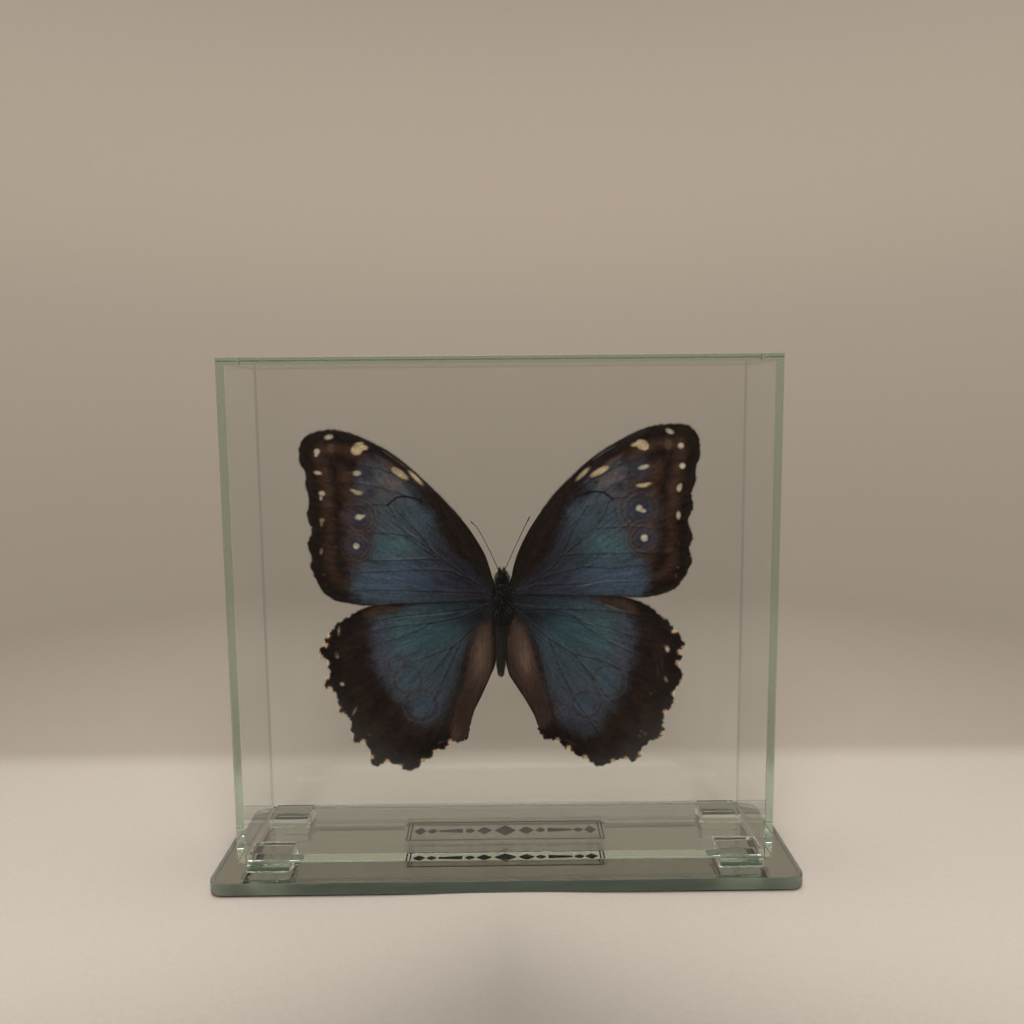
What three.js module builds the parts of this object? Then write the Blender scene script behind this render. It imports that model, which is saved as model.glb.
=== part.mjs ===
// A blue butterfly with spread wings, sealed in a standing case of six glass panes. The case
// rests on four small glass blocks, which stand on a wider mirror plate with rounded corners.
//
// Millimetres. +Z is up, +X is to the right and -Y is towards the viewer. The origin is the
// middle of the mirror plate's underside.

import * as THREE from 'three';

// Case of clear panes, bonded edge to edge
const CASE_WIDTH = 150;
const CASE_DEPTH = 36;
const CASE_HEIGHT = 140;
const PANE = 2;
const BOND = 0.1;
const CASE_X = -0.4;

// Mirror plate under the case
const PLATE_WIDTH = 164.4;
const PLATE_DEPTH = 48.5;
const PLATE_THICKNESS = 3.5;
const PLATE_CORNER_RADIUS = 4;
const PLATE_ARRIS = 0.4;
const PLATE_FRONT_MARGIN = 6.5;

// Glass blocks between the plate and the case
const BLOCK_WIDTH = 11.8;
const BLOCK_DEPTH = 10.5;
const BLOCK_GAP = 2.5;
const BLOCK_INSET = 2.6;

// Printed strip of clear film under the bottom pane
const LABEL_WIDTH = 60;
const LABEL_DEPTH = 14;
const LABEL_THICKNESS = 0.2;

// Butterfly: the thorax's centre, the wings' plane and their slight rise towards the tips
const THORAX_X = CASE_X - 0.35;
const THORAX_HEIGHT = 74.6;
const WING_PLANE_Y = 9.25;
const WING_THICKNESS = 0.4;
const WING_STEP = 0.8;
const WING_RISE = THREE.MathUtils.degToRad(2.5);
const CLEARANCE = 0.3;

// Heights and depths that follow
const PLATE_TOP = PLATE_THICKNESS;
const CASE_BOTTOM = PLATE_TOP + BLOCK_GAP;
const CASE_FRONT_Y = -PLATE_DEPTH / 2 + PLATE_FRONT_MARGIN;
const CASE_MIDDLE_Y = CASE_FRONT_Y + CASE_DEPTH / 2;
const CASE_BACK_INSIDE = CASE_FRONT_Y + CASE_DEPTH - PANE;

const glass = new THREE.MeshStandardMaterial({
  color: 0xd5e2d6, roughness: 0.03, metalness: 0, transparent: true, opacity: 0.3,
});
const mirror = new THREE.MeshStandardMaterial({ color: 0x8b8678, roughness: 0.04, metalness: 0.9 });
const film = new THREE.MeshStandardMaterial({ color: 0xb9bfb2, roughness: 0.3, metalness: 0 });
const glue = new THREE.MeshStandardMaterial({
  color: 0xe8ebe4, roughness: 0.1, metalness: 0, transparent: true, opacity: 0.5,
});
const forewingBlue = new THREE.MeshStandardMaterial({ color: 0x24404f, roughness: 0.6, metalness: 0 });
const hindwingBlue = new THREE.MeshStandardMaterial({ color: 0x1f3a46, roughness: 0.6, metalness: 0 });
const darkHair = new THREE.MeshStandardMaterial({ color: 0x1b1a18, roughness: 0.95, metalness: 0 });
const greyHair = new THREE.MeshStandardMaterial({ color: 0x2a2c28, roughness: 0.9, metalness: 0 });
const horn = new THREE.MeshStandardMaterial({ color: 0x2b231b, roughness: 0.5, metalness: 0 });

function named(name, geometry, material) {
  const mesh = new THREE.Mesh(geometry, material);
  mesh.name = name;
  return mesh;
}

function block(name, width, depth, height, material, centreX, centreY, bottom) {
  const mesh = named(name, new THREE.BoxGeometry(width, depth, height), material);
  mesh.position.set(centreX, centreY, bottom + height / 2);
  return mesh;
}

// A rounded rectangle with a small bevel along its upper and lower edges.
function mirrorPlate() {
  const halfWidth = PLATE_WIDTH / 2 - PLATE_ARRIS;
  const halfDepth = PLATE_DEPTH / 2 - PLATE_ARRIS;
  const radius = PLATE_CORNER_RADIUS - PLATE_ARRIS;
  const shape = new THREE.Shape();
  shape.absarc(halfWidth - radius, halfDepth - radius, radius, 0, Math.PI / 2);
  shape.absarc(-halfWidth + radius, halfDepth - radius, radius, Math.PI / 2, Math.PI);
  shape.absarc(-halfWidth + radius, -halfDepth + radius, radius, Math.PI, Math.PI * 1.5);
  shape.absarc(halfWidth - radius, -halfDepth + radius, radius, Math.PI * 1.5, Math.PI * 2);
  const geometry = new THREE.ExtrudeGeometry(shape, {
    depth: PLATE_THICKNESS - 2 * PLATE_ARRIS,
    bevelThickness: PLATE_ARRIS,
    bevelSize: PLATE_ARRIS,
    bevelSegments: 1,
    curveSegments: 8,
  });
  const mesh = named('mirror_plate', geometry, mirror);
  mesh.position.z = PLATE_ARRIS;
  return mesh;
}

function blocks() {
  const sideX = CASE_WIDTH / 2 - BLOCK_INSET - BLOCK_WIDTH / 2;
  const frontY = CASE_FRONT_Y + BLOCK_DEPTH / 2;
  const backY = CASE_FRONT_Y + CASE_DEPTH - BLOCK_DEPTH / 2;
  const height = BLOCK_GAP - 2 * BOND;
  const made = [];
  for (const [row, y] of [['front', frontY], ['back', backY]]) {
    for (const [side, x] of [['left', CASE_X - sideX], ['right', CASE_X + sideX]]) {
      const name = `block_${row}_${side}`;
      made.push(block(name, BLOCK_WIDTH, BLOCK_DEPTH, height, glass, x, y, PLATE_TOP + BOND));
    }
  }
  return made;
}

// Front and back panes cover the whole face. The top strip and the two sides stand between
// them, and the bottom strip lies between the sides.
function panes() {
  const betweenDepth = CASE_DEPTH - 2 * PANE - 2 * BOND;
  const sideHeight = CASE_HEIGHT - PANE - BOND;
  const bottomWidth = CASE_WIDTH - 2 * PANE - 2 * BOND;
  const sideX = CASE_WIDTH / 2 - PANE / 2;
  const backY = CASE_FRONT_Y + CASE_DEPTH - PANE / 2;
  const topZ = CASE_BOTTOM + CASE_HEIGHT - PANE;
  return [
    block('pane_front', CASE_WIDTH, PANE, CASE_HEIGHT, glass, CASE_X, CASE_FRONT_Y + PANE / 2, CASE_BOTTOM),
    block('pane_back', CASE_WIDTH, PANE, CASE_HEIGHT, glass, CASE_X, backY, CASE_BOTTOM),
    block('pane_top', CASE_WIDTH, betweenDepth, PANE, glass, CASE_X, CASE_MIDDLE_Y, topZ),
    block('pane_left', PANE, betweenDepth, sideHeight, glass, CASE_X - sideX, CASE_MIDDLE_Y, CASE_BOTTOM),
    block('pane_right', PANE, betweenDepth, sideHeight, glass, CASE_X + sideX, CASE_MIDDLE_Y, CASE_BOTTOM),
    block('pane_bottom', bottomWidth, betweenDepth, PANE, glass, CASE_X, CASE_MIDDLE_Y, CASE_BOTTOM),
  ];
}

function label() {
  const bottom = CASE_BOTTOM - BOND - LABEL_THICKNESS;
  return block('label_film', LABEL_WIDTH, LABEL_DEPTH, LABEL_THICKNESS, film, CASE_X, CASE_MIDDLE_Y, bottom);
}

// The butterfly's own frame: +x to its right side, +y towards its head, +z towards the viewer,
// with the origin at the middle of the thorax in the forewings' plane.

const FOREWING_LEFT = {
  costa: [
    [-3.4, 4], [-3, 7.6], [-3.6, 10], [-4.9, 14], [-7.5, 18.7], [-10.6, 23.4], [-14.8, 28.2],
    [-18.6, 32.4], [-22.8, 36.5], [-28.3, 41.6], [-33.4, 45.4], [-39.1, 48.4], [-44.2, 50.6],
    [-49.7, 51.5], [-52.8, 51.1],
  ],
  margin: [
    [-56, 50], [-58, 47.8], [-58.7, 45], [-58.4, 41.9], [-57.4, 40.1], [-56.9, 38.1],
    [-57.1, 35.9], [-56.7, 33.6], [-56.1, 31.3], [-56.4, 29.1], [-57, 26.8], [-56.4, 24.1],
    [-55.6, 22.2], [-56.3, 19.9], [-57, 18.1], [-56.7, 16.3], [-55.8, 14], [-56.4, 11.2],
    [-55.3, 8.4], [-54.3, 6.1], [-53.2, 3.8], [-51.5, 2.3], [-49.5, 1.1], [-45, 0],
  ],
  trailing: [[-40.5, -0.7], [-31.3, -0.5], [-22.2, -0.2], [-8.4, 0.1], [-3.5, 0.3]],
};

const FOREWING_RIGHT = {
  costa: [
    [3.4, 4], [3.1, 7.4], [3.4, 9.8], [4.9, 14.6], [7.4, 19.9], [10.4, 24.8], [13.4, 28.9],
    [17.2, 33.6], [21.3, 37.5], [25.1, 41.1], [30.5, 45.1], [37, 48.8], [42.1, 51.1],
    [47.3, 52.2], [51.9, 52.2],
  ],
  margin: [
    [54.4, 52], [57.1, 49.8], [58.2, 46.7], [58.3, 43.3], [57.3, 39.8], [57.2, 35.9],
    [56.5, 34.1], [55.9, 32.3], [56, 30.7], [56.5, 28.9], [56.4, 27.3], [55.6, 25.7],
    [55.1, 23.9], [55.6, 21.8], [56.4, 19.8], [56.3, 17.9], [55.4, 16.3], [55.6, 14.5],
    [56.3, 12.6], [56.1, 10.8], [55, 8.7], [54.8, 7.6], [53.4, 6.2], [52.5, 4.5],
    [51.2, 3.4], [49.1, 2.5], [46.4, 1.7],
  ],
  trailing: [[41.4, 0.9], [33.2, 1.4], [24, 1.5], [7.9, 1.7], [3.5, 1.6]],
};

const HINDWING_LEFT = {
  front: [
    [-3.6, -2.2], [-8, 1.2], [-20, 2], [-32, 1], [-37.8, -0.7], [-43.4, -2.8], [-48, -5.6],
    [-51.4, -8.8], [-52.8, -11.6],
  ],
  margin: [
    [-54.3, -14.1], [-54.6, -15.3], [-54.2, -16.4], [-53.2, -16.8], [-52.5, -17.5],
    [-52, -20.3], [-52.1, -21.8], [-52.9, -23.4], [-53.2, -25.3], [-52.8, -26], [-50.9, -26.6],
    [-49.6, -29.2], [-49.4, -33.6], [-47.5, -34.5], [-46.6, -35.8], [-46, -37.5],
    [-45.8, -42.1], [-44.5, -43.1], [-42.6, -42.9], [-40.4, -45.4], [-40.2, -46.9],
    [-40.6, -48.8], [-39.6, -50.3], [-38.4, -50.7], [-35.8, -49.5], [-34.2, -49.7],
    [-32.6, -50.3], [-30.3, -52.3], [-28.4, -52.6], [-26.5, -51.7], [-25.1, -50.2],
    [-21.8, -48.1], [-19.6, -45.7], [-18.5, -46.3], [-17.3, -46.1], [-16.2, -43.6],
    [-14.7, -43.7], [-13.5, -44], [-12.5, -43.2], [-11.4, -43.5], [-10.7, -42.6],
  ],
  inner: [
    [-10, -39], [-8.9, -34.6], [-7, -30.8], [-4.6, -25.6], [-3.5, -22.9], [-2.8, -20],
    [-2.7, -12.3], [-3.6, -6],
  ],
};

const HINDWING_RIGHT = {
  front: [
    [3.6, -2.2], [8, 1.6], [20, 2.4], [31, 1.6], [36.9, 0.7], [42.5, -1.2], [46.6, -4],
    [49.9, -7.1], [51.5, -8.7],
  ],
  margin: [
    [51.7, -9.5], [52.6, -10], [53.8, -12.2], [54.6, -13.6], [54.3, -15], [53.2, -15.4],
    [53.3, -16.5], [53.9, -17.4], [53.7, -18.9], [52.7, -19.4], [53, -20.8], [53.9, -22.7],
    [54.3, -24.6], [54.1, -25.4], [52.6, -25.8], [51.7, -27.5], [51.5, -31.3], [50.4, -33.9],
    [49.2, -34.4], [48.3, -38], [48.7, -40], [48.5, -41.7], [47.5, -43], [45.6, -42.9],
    [42.8, -45.3], [41.8, -46.8], [41.9, -48.8], [39.6, -50], [36.3, -49.2], [34.4, -49.7],
    [31.6, -51.3], [30, -51.8], [28.3, -51.3], [25, -49.1], [23.6, -49.1], [20.8, -46.7],
    [18.7, -46.1], [16.6, -44], [15.4, -43.3], [13.3, -43.3], [11.9, -42.6], [11.1, -41.6],
  ],
  inner: [
    [10, -37.7], [9.4, -35.8], [6.8, -31], [3.1, -25.2], [2, -23.3], [1.7, -20.9],
    [1.8, -12.3], [3.6, -6],
  ],
};

// One wing plate. Each named stretch of its outline is a smooth curve, and the stretches
// meet in corners.
function wing(name, outline, thicknessTop, material) {
  const stretches = Object.values(outline);
  const shape = new THREE.Shape();
  shape.moveTo(...stretches[0][0]);
  for (const stretch of stretches) {
    const isStart = stretch === stretches[0];
    const points = (isStart ? stretch.slice(1) : stretch).map(([x, y]) => new THREE.Vector2(x, y));
    shape.splineThru(points);
  }
  shape.closePath();
  const geometry = new THREE.ExtrudeGeometry(shape, {
    depth: WING_THICKNESS,
    bevelEnabled: false,
    curveSegments: 2,
  });
  geometry.translate(0, 0, thicknessTop - WING_THICKNESS);
  const mesh = named(name, geometry, material);
  mesh.rotation.y = name.endsWith('left') ? WING_RISE : -WING_RISE;
  return mesh;
}

function wings() {
  const foreTop = WING_THICKNESS / 2;
  const hindTop = foreTop - WING_STEP;
  return [
    wing('forewing_left', FOREWING_LEFT, foreTop, forewingBlue),
    wing('forewing_right', FOREWING_RIGHT, foreTop, forewingBlue),
    wing('hindwing_left', HINDWING_LEFT, hindTop, hindwingBlue),
    wing('hindwing_right', HINDWING_RIGHT, hindTop, hindwingBlue),
  ];
}

// A closed skin over elliptical rings along y. Each ring is [y, half width, half depth,
// centre x, centre z], from the head end to the tail end.
const RING_SIDES = 20;

function loft(rings) {
  const positions = [];
  for (const [y, halfWidth, halfDepth, centreX, centreZ] of rings) {
    for (let i = 0; i < RING_SIDES; i += 1) {
      const angle = (i / RING_SIDES) * Math.PI * 2;
      const x = centreX + halfWidth * Math.cos(angle);
      const z = centreZ + halfDepth * Math.sin(angle);
      positions.push(x, y, z);
    }
  }
  const index = [];
  for (let ring = 0; ring + 1 < rings.length; ring += 1) {
    for (let i = 0; i < RING_SIDES; i += 1) {
      const a = ring * RING_SIDES + i;
      const b = ring * RING_SIDES + ((i + 1) % RING_SIDES);
      index.push(a, b, a + RING_SIDES, b, b + RING_SIDES, a + RING_SIDES);
    }
  }
  const last = (rings.length - 1) * RING_SIDES;
  for (let i = 1; i + 1 < RING_SIDES; i += 1) {
    index.push(0, i + 1, i);
    index.push(last, last + i, last + i + 1);
  }
  const geometry = new THREE.BufferGeometry();
  geometry.setAttribute('position', new THREE.Float32BufferAttribute(positions, 3));
  geometry.setIndex(index);
  geometry.computeVertexNormals();
  return geometry;
}

const THORAX_RINGS = [
  [4.7, 1.5, 1.5, 0.1, -0.9], [4.2, 2.3, 2.2, 0.1, -0.9], [2.8, 2.9, 2.9, 0, -1],
  [0.6, 3.25, 3.35, 0, -1.05], [-2, 3.2, 3.4, 0, -1.05], [-4.6, 2.9, 3.1, -0.05, -1.1],
  [-6.6, 2.3, 2.5, -0.1, -1.2], [-7.4, 1.5, 1.7, -0.15, -1.25],
];

const HEAD_RINGS = [
  [9, 0.5, 0.5, 0.25, -1.4], [8.5, 1.1, 1, 0.2, -1.3], [7.6, 1.9, 1.6, 0.15, -1.1],
  [6.7, 2.25, 1.8, 0.15, -1], [5.7, 2, 1.6, 0.1, -0.9], [5, 1.3, 1.3, 0.1, -0.9],
];

const ABDOMEN_RINGS = [
  [-7.7, 1.2, 1.3, -0.2, -1.3], [-8.3, 1.7, 1.7, -0.25, -1.4], [-10, 1.85, 1.85, -0.3, -1.6],
  [-13, 1.85, 1.9, -0.4, -1.9], [-16, 1.75, 1.8, -0.45, -2.1], [-19, 1.55, 1.6, -0.5, -2.3],
  [-21.5, 1.3, 1.35, -0.55, -2.4], [-23, 0.95, 1, -0.55, -2.5], [-23.5, 0.5, 0.5, -0.55, -2.5],
];

// A round rod of few sides along a smooth curve through the points.
const ROD_SIDES = 6;

function rod(name, points, radius, steps, material) {
  const section = new THREE.Shape();
  for (let i = 0; i < ROD_SIDES; i += 1) {
    const angle = (i / ROD_SIDES) * Math.PI * 2;
    const x = radius * Math.cos(angle);
    const y = radius * Math.sin(angle);
    if (i === 0) {
      section.moveTo(x, y);
    } else {
      section.lineTo(x, y);
    }
  }
  section.closePath();
  const path = new THREE.CatmullRomCurve3(points.map(([x, y, z]) => new THREE.Vector3(x, y, z)));
  return named(name, new THREE.ExtrudeGeometry(section, { steps, extrudePath: path }), material);
}

const ANTENNA_RADIUS = 0.2;
const ANTENNA_LEFT = [[-1.05, 9.4, -0.4], [-3.6, 15.4, 0.2], [-6.85, 21.7, 0.9], [-9.05, 24.2, 1.2]];
const ANTENNA_RIGHT = [[1.05, 9.4, -0.4], [3.5, 15, 0.2], [6.3, 21, 0.8], [8.55, 25.6, 1.3]];

// Two pairs of walking legs, drawn up under the thorax and pointing back along the abdomen.
const LEG_RADIUS = 0.3;
const LEG_STEPS = 14;
const LEG_MIDDLE = [[2.3, -0.6, -4.3], [4.4, 1.4, -3.9], [6, 2, -3.6], [6.6, -2, -4], [6.3, -8, -4.4]];
const LEG_HIND = [[2.2, -3.6, -4.3], [4.2, -4.4, -4.6], [3.6, -9.2, -5.2], [2.8, -15.8, -5.4]];

function legs() {
  const made = [];
  for (const [side, sign] of [['left', -1], ['right', 1]]) {
    for (const [pair, points] of [['middle', LEG_MIDDLE], ['hind', LEG_HIND]]) {
      const mirrored = points.map(([x, y, z]) => [sign * x, y, z]);
      made.push(rod(`leg_${pair}_${side}`, mirrored, LEG_RADIUS, LEG_STEPS, horn));
    }
  }
  return made;
}

// A dab of clear glue between the thorax's underside and the back pane.
const GLUE_TOP_RADIUS = 1.3;
const GLUE_FOOT_RADIUS = 2.1;
const GLUE_SIDES = 16;

function glueDab() {
  const thoraxUnderside = -4.45 - CLEARANCE;
  const backPane = WING_PLANE_Y - CASE_BACK_INSIDE + BOND;
  const profile = [
    [0, backPane], [GLUE_FOOT_RADIUS, backPane], [GLUE_FOOT_RADIUS * 0.75, backPane * 0.85],
    [GLUE_TOP_RADIUS, thoraxUnderside], [0, thoraxUnderside],
  ].map(([x, y]) => new THREE.Vector2(x, y));
  const mesh = named('glue_dab', new THREE.LatheGeometry(profile, GLUE_SIDES), glue);
  mesh.rotation.x = Math.PI / 2;
  mesh.position.y = -2;
  return mesh;
}

function butterfly() {
  const insect = new THREE.Group();
  insect.position.set(THORAX_X, WING_PLANE_Y, THORAX_HEIGHT);
  insect.rotation.x = Math.PI / 2;
  insect.add(
    ...wings(),
    named('thorax', loft(THORAX_RINGS), darkHair),
    named('head', loft(HEAD_RINGS), darkHair),
    named('abdomen', loft(ABDOMEN_RINGS), greyHair),
    rod('antenna_left', ANTENNA_LEFT, ANTENNA_RADIUS, 12, horn),
    rod('antenna_right', ANTENNA_RIGHT, ANTENNA_RADIUS, 12, horn),
    ...legs(),
    glueDab(),
  );
  return insect;
}

const specimen = new THREE.Group();
specimen.add(mirrorPlate(), ...blocks(), ...panes(), label(), butterfly());

export default specimen;
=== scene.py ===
"""Looks of a blue butterfly with spread wings in a standing glass case on a mirror plate.

Lengths are in millimetres until a mesh is made. The butterfly has its own frame: +x outward on
each side, +y towards the head, +z towards the viewer, from the middle of the thorax.
"""
import math

import bmesh
import bpy
import numpy as np
from mathutils import Matrix, Vector
from mathutils.geometry import delaunay_2d_cdt


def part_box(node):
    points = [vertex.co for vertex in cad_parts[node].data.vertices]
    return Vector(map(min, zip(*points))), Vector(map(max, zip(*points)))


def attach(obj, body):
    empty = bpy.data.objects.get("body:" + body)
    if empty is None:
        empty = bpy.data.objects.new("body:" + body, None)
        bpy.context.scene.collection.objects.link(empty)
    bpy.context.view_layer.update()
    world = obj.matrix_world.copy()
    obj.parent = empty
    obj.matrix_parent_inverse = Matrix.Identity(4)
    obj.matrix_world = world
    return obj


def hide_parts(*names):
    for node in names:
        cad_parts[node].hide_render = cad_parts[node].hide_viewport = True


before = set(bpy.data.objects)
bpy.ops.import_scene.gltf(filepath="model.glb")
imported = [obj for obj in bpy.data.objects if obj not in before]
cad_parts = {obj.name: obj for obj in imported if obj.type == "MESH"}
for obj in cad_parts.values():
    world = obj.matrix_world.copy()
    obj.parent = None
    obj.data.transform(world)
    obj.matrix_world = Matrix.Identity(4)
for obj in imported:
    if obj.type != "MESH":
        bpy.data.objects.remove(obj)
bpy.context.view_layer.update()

MM = 0.001
RANDOM = np.random.default_rng(11)

PLATE_LOW, PLATE_HIGH = (np.array(v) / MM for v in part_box("mirror_plate"))
BASE = PLATE_LOW[2]
THORAX = np.array([-0.75, 9.25, 74.6 + BASE])
WING_RISE = math.radians(2.5)

CAMERA_PLACE = (0.698, -262.699, 133.361 + BASE)
CAMERA_YAW, CAMERA_PITCH, CAMERA_ROLL = -0.0066, 0.1177, -0.0087
CAMERA_LENS = 32.369


# ---------------------------------------------------------------- meshes

def linear(rgb, gain=1.0):
    """A linear colour from one written as 0 to 255."""
    c = np.asarray(rgb, float) / 255
    return np.where(c <= 0.04045, c / 12.92, ((c + 0.055) / 1.055) ** 2.4) * gain


def to_part(points, side=1, rise=0.0):
    """Points of the butterfly's frame, in the part's frame. side is -1 for its left."""
    p = np.asarray(points, float)
    x, z = p[:, 0], p[:, 2]
    tilted_x = x * math.cos(rise) - z * math.sin(rise)
    tilted_z = x * math.sin(rise) + z * math.cos(rise)
    return np.stack([THORAX[0] + side * tilted_x, THORAX[1] - tilted_z, THORAX[2] + p[:, 1]], 1)


def from_part(points, side=1, rise=0.0):
    """The reverse of to_part."""
    p = np.asarray(points, float) - THORAX
    x, z = side * p[:, 0], -p[:, 1]
    return np.stack([x * math.cos(rise) + z * math.sin(rise), p[:, 2],
                     -x * math.sin(rise) + z * math.cos(rise)], 1)


def piece(name, points, faces, looks, slot, replaces=(), tint=None, face_looks=None, marks=None,
          smooth=True):
    """One visible piece from points in millimetres, riding on the part."""
    mesh = bpy.data.meshes.new(name)
    mesh.from_pydata((np.asarray(points, float) * MM).tolist(), [], [list(map(int, f)) for f in faces])
    for look in looks:
        mesh.materials.append(look)
    mesh.polygons.foreach_set("use_smooth", [smooth] * len(mesh.polygons))
    if face_looks is not None:
        mesh.polygons.foreach_set("material_index", np.asarray(face_looks, np.int32))
    for key, values in (marks or {}).items():
        mesh.attributes.new(key, "FLOAT", "FACE").data.foreach_set("value", np.asarray(values, np.float32))
    if tint is not None:
        rgba = np.ones((len(points), 4), np.float32)
        rgba[:, :3] = tint
        mesh.color_attributes.new("tint", "FLOAT_COLOR", "POINT").data.foreach_set("color", rgba.ravel())
    mesh.update()
    made = bpy.data.objects.new(name, mesh)
    bpy.context.scene.collection.objects.link(made)
    if slot is None:
        return made
    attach(made, "root")
    if replaces:
        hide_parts(*replaces)
    return made


def joined(parts):
    """Points, faces and tints of several (points, faces, tint) as one."""
    points, faces, tints, start = [], [], [], 0
    for p, f, t in parts:
        points.append(np.asarray(p, float))
        faces.extend([[i + start for i in face] for face in f])
        tints.append(np.broadcast_to(t, (len(p), 3)))
        start += len(p)
    return np.concatenate(points), faces, np.concatenate(tints)


def bevelled_box(low, high, bevel):
    """Points and faces of a box with ground edges."""
    low, high = np.asarray(low, float), np.asarray(high, float)
    bm = bmesh.new()
    bmesh.ops.create_cube(bm, size=1.0)
    for v in bm.verts:
        v.co = Vector((low + high) / 2 + np.array(v.co) * (high - low))
    bmesh.ops.bevel(bm, geom=bm.edges[:], offset=bevel, segments=2, affect="EDGES", profile=0.5)
    bm.normal_update()
    points = np.array([v.co for v in bm.verts])
    bm.verts.index_update()
    faces = [[v.index for v in f.verts] for f in bm.faces]
    bm.free()
    return points, faces


def strip(x0, y0, x1, y1):
    """Corner points of a plain rectangle, anticlockwise."""
    return [(x0, y0), (x1, y0), (x1, y1), (x0, y1)]


def rounded_rectangle(half_x, half_y, radius, steps=12):
    """Corner points of a rounded rectangle round the origin, anticlockwise."""
    loop = []
    for corner, (sx, sy) in enumerate([(1, 1), (-1, 1), (-1, -1), (1, -1)]):
        for i in range(steps + 1):
            a = math.pi / 2 * (corner + i / steps)
            loop.append([sx * (half_x - radius) + radius * math.cos(a),
                         sy * (half_y - radius) + radius * math.sin(a)])
    return np.array(loop)


def stacked_loops(loops):
    """A closed skin through loops of the same number of points, capped at both ends."""
    n = len(loops[0])
    faces = [list(range(n))[::-1]]
    for k in range(len(loops) - 1):
        for i in range(n):
            j = (i + 1) % n
            faces.append([k * n + i, k * n + j, (k + 1) * n + j, (k + 1) * n + i])
    faces.append([(len(loops) - 1) * n + i for i in range(n)])
    return np.concatenate(loops), faces


def at_height(loop, z, centre=(0, 0)):
    """A flat loop as points of the part, at a height."""
    return np.column_stack([loop + np.asarray(centre), np.full(len(loop), z)])


def tube(path, radii, sides):
    """Points and faces of a round tube along a path."""
    path = np.asarray(path, float)
    radii = np.broadcast_to(radii, len(path))
    along = np.gradient(path, axis=0)
    along /= np.linalg.norm(along, axis=1)[:, None]
    across = np.cross(along[0], [0.3, 0.2, 1.0])
    rings = []
    for p, t, r in zip(path, along, radii):
        across = across - t * across.dot(t)
        across /= np.linalg.norm(across)
        other = np.cross(t, across)
        angles = np.arange(sides) * 2 * math.pi / sides
        rings.append(p + r * (np.cos(angles)[:, None] * across + np.sin(angles)[:, None] * other))
    return stacked_loops(rings)


def curve_through(points, count):
    """Points of a smooth curve through the given ones."""
    p = np.asarray(points, float)
    p = np.vstack([2 * p[0] - p[1], p, 2 * p[-1] - p[-2]])
    out = []
    for t in np.linspace(0, len(p) - 3, count):
        i = min(int(t), len(p) - 4)
        u = t - i
        a, b, c, d = p[i:i + 4]
        out.append(0.5 * (2 * b + (c - a) * u + (2 * a - 5 * b + 4 * c - d) * u * u
                          + (3 * b - a - 3 * c + d) * u ** 3))
    return np.array(out)


def ellipsoid(centre, radii, rings=20, sides=28):
    """Points and faces of an ellipsoid with its poles along y."""
    loops = []
    for k in range(1, rings):
        a = math.pi * k / rings
        b = np.arange(sides) * 2 * math.pi / sides
        loops.append(np.stack([np.sin(a) * np.cos(b), np.full(sides, np.cos(a)), np.sin(a) * np.sin(b)], 1)
                     * radii + centre)
    return stacked_loops(loops)


def value_noise(p, scale, seed=0.0):
    """Smooth noise from 0 to 1 at 2-D or 3-D points."""
    q = np.asarray(p, float) / scale + seed * 17.31
    cell = np.floor(q)
    f = q - cell
    f = f * f * (3 - 2 * f)
    total = np.zeros(len(q))
    keys = np.array([127.1, 311.7, 74.7])[:q.shape[1]]
    for corner in np.ndindex(*(2,) * q.shape[1]):
        corner = np.array(corner)
        h = np.sin((cell + corner) @ keys) * 43758.5453
        total += (h - np.floor(h)) * np.prod(np.where(corner, f, 1 - f), 1)
    return total


def ramp(low, high, x):
    """A smooth step from 0 at low to 1 at high, which may lie the other way round."""
    t = np.clip((x - low) / (high - low), 0, 1)
    return t * t * (3 - 2 * t)


# ---------------------------------------------------------------- materials

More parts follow.
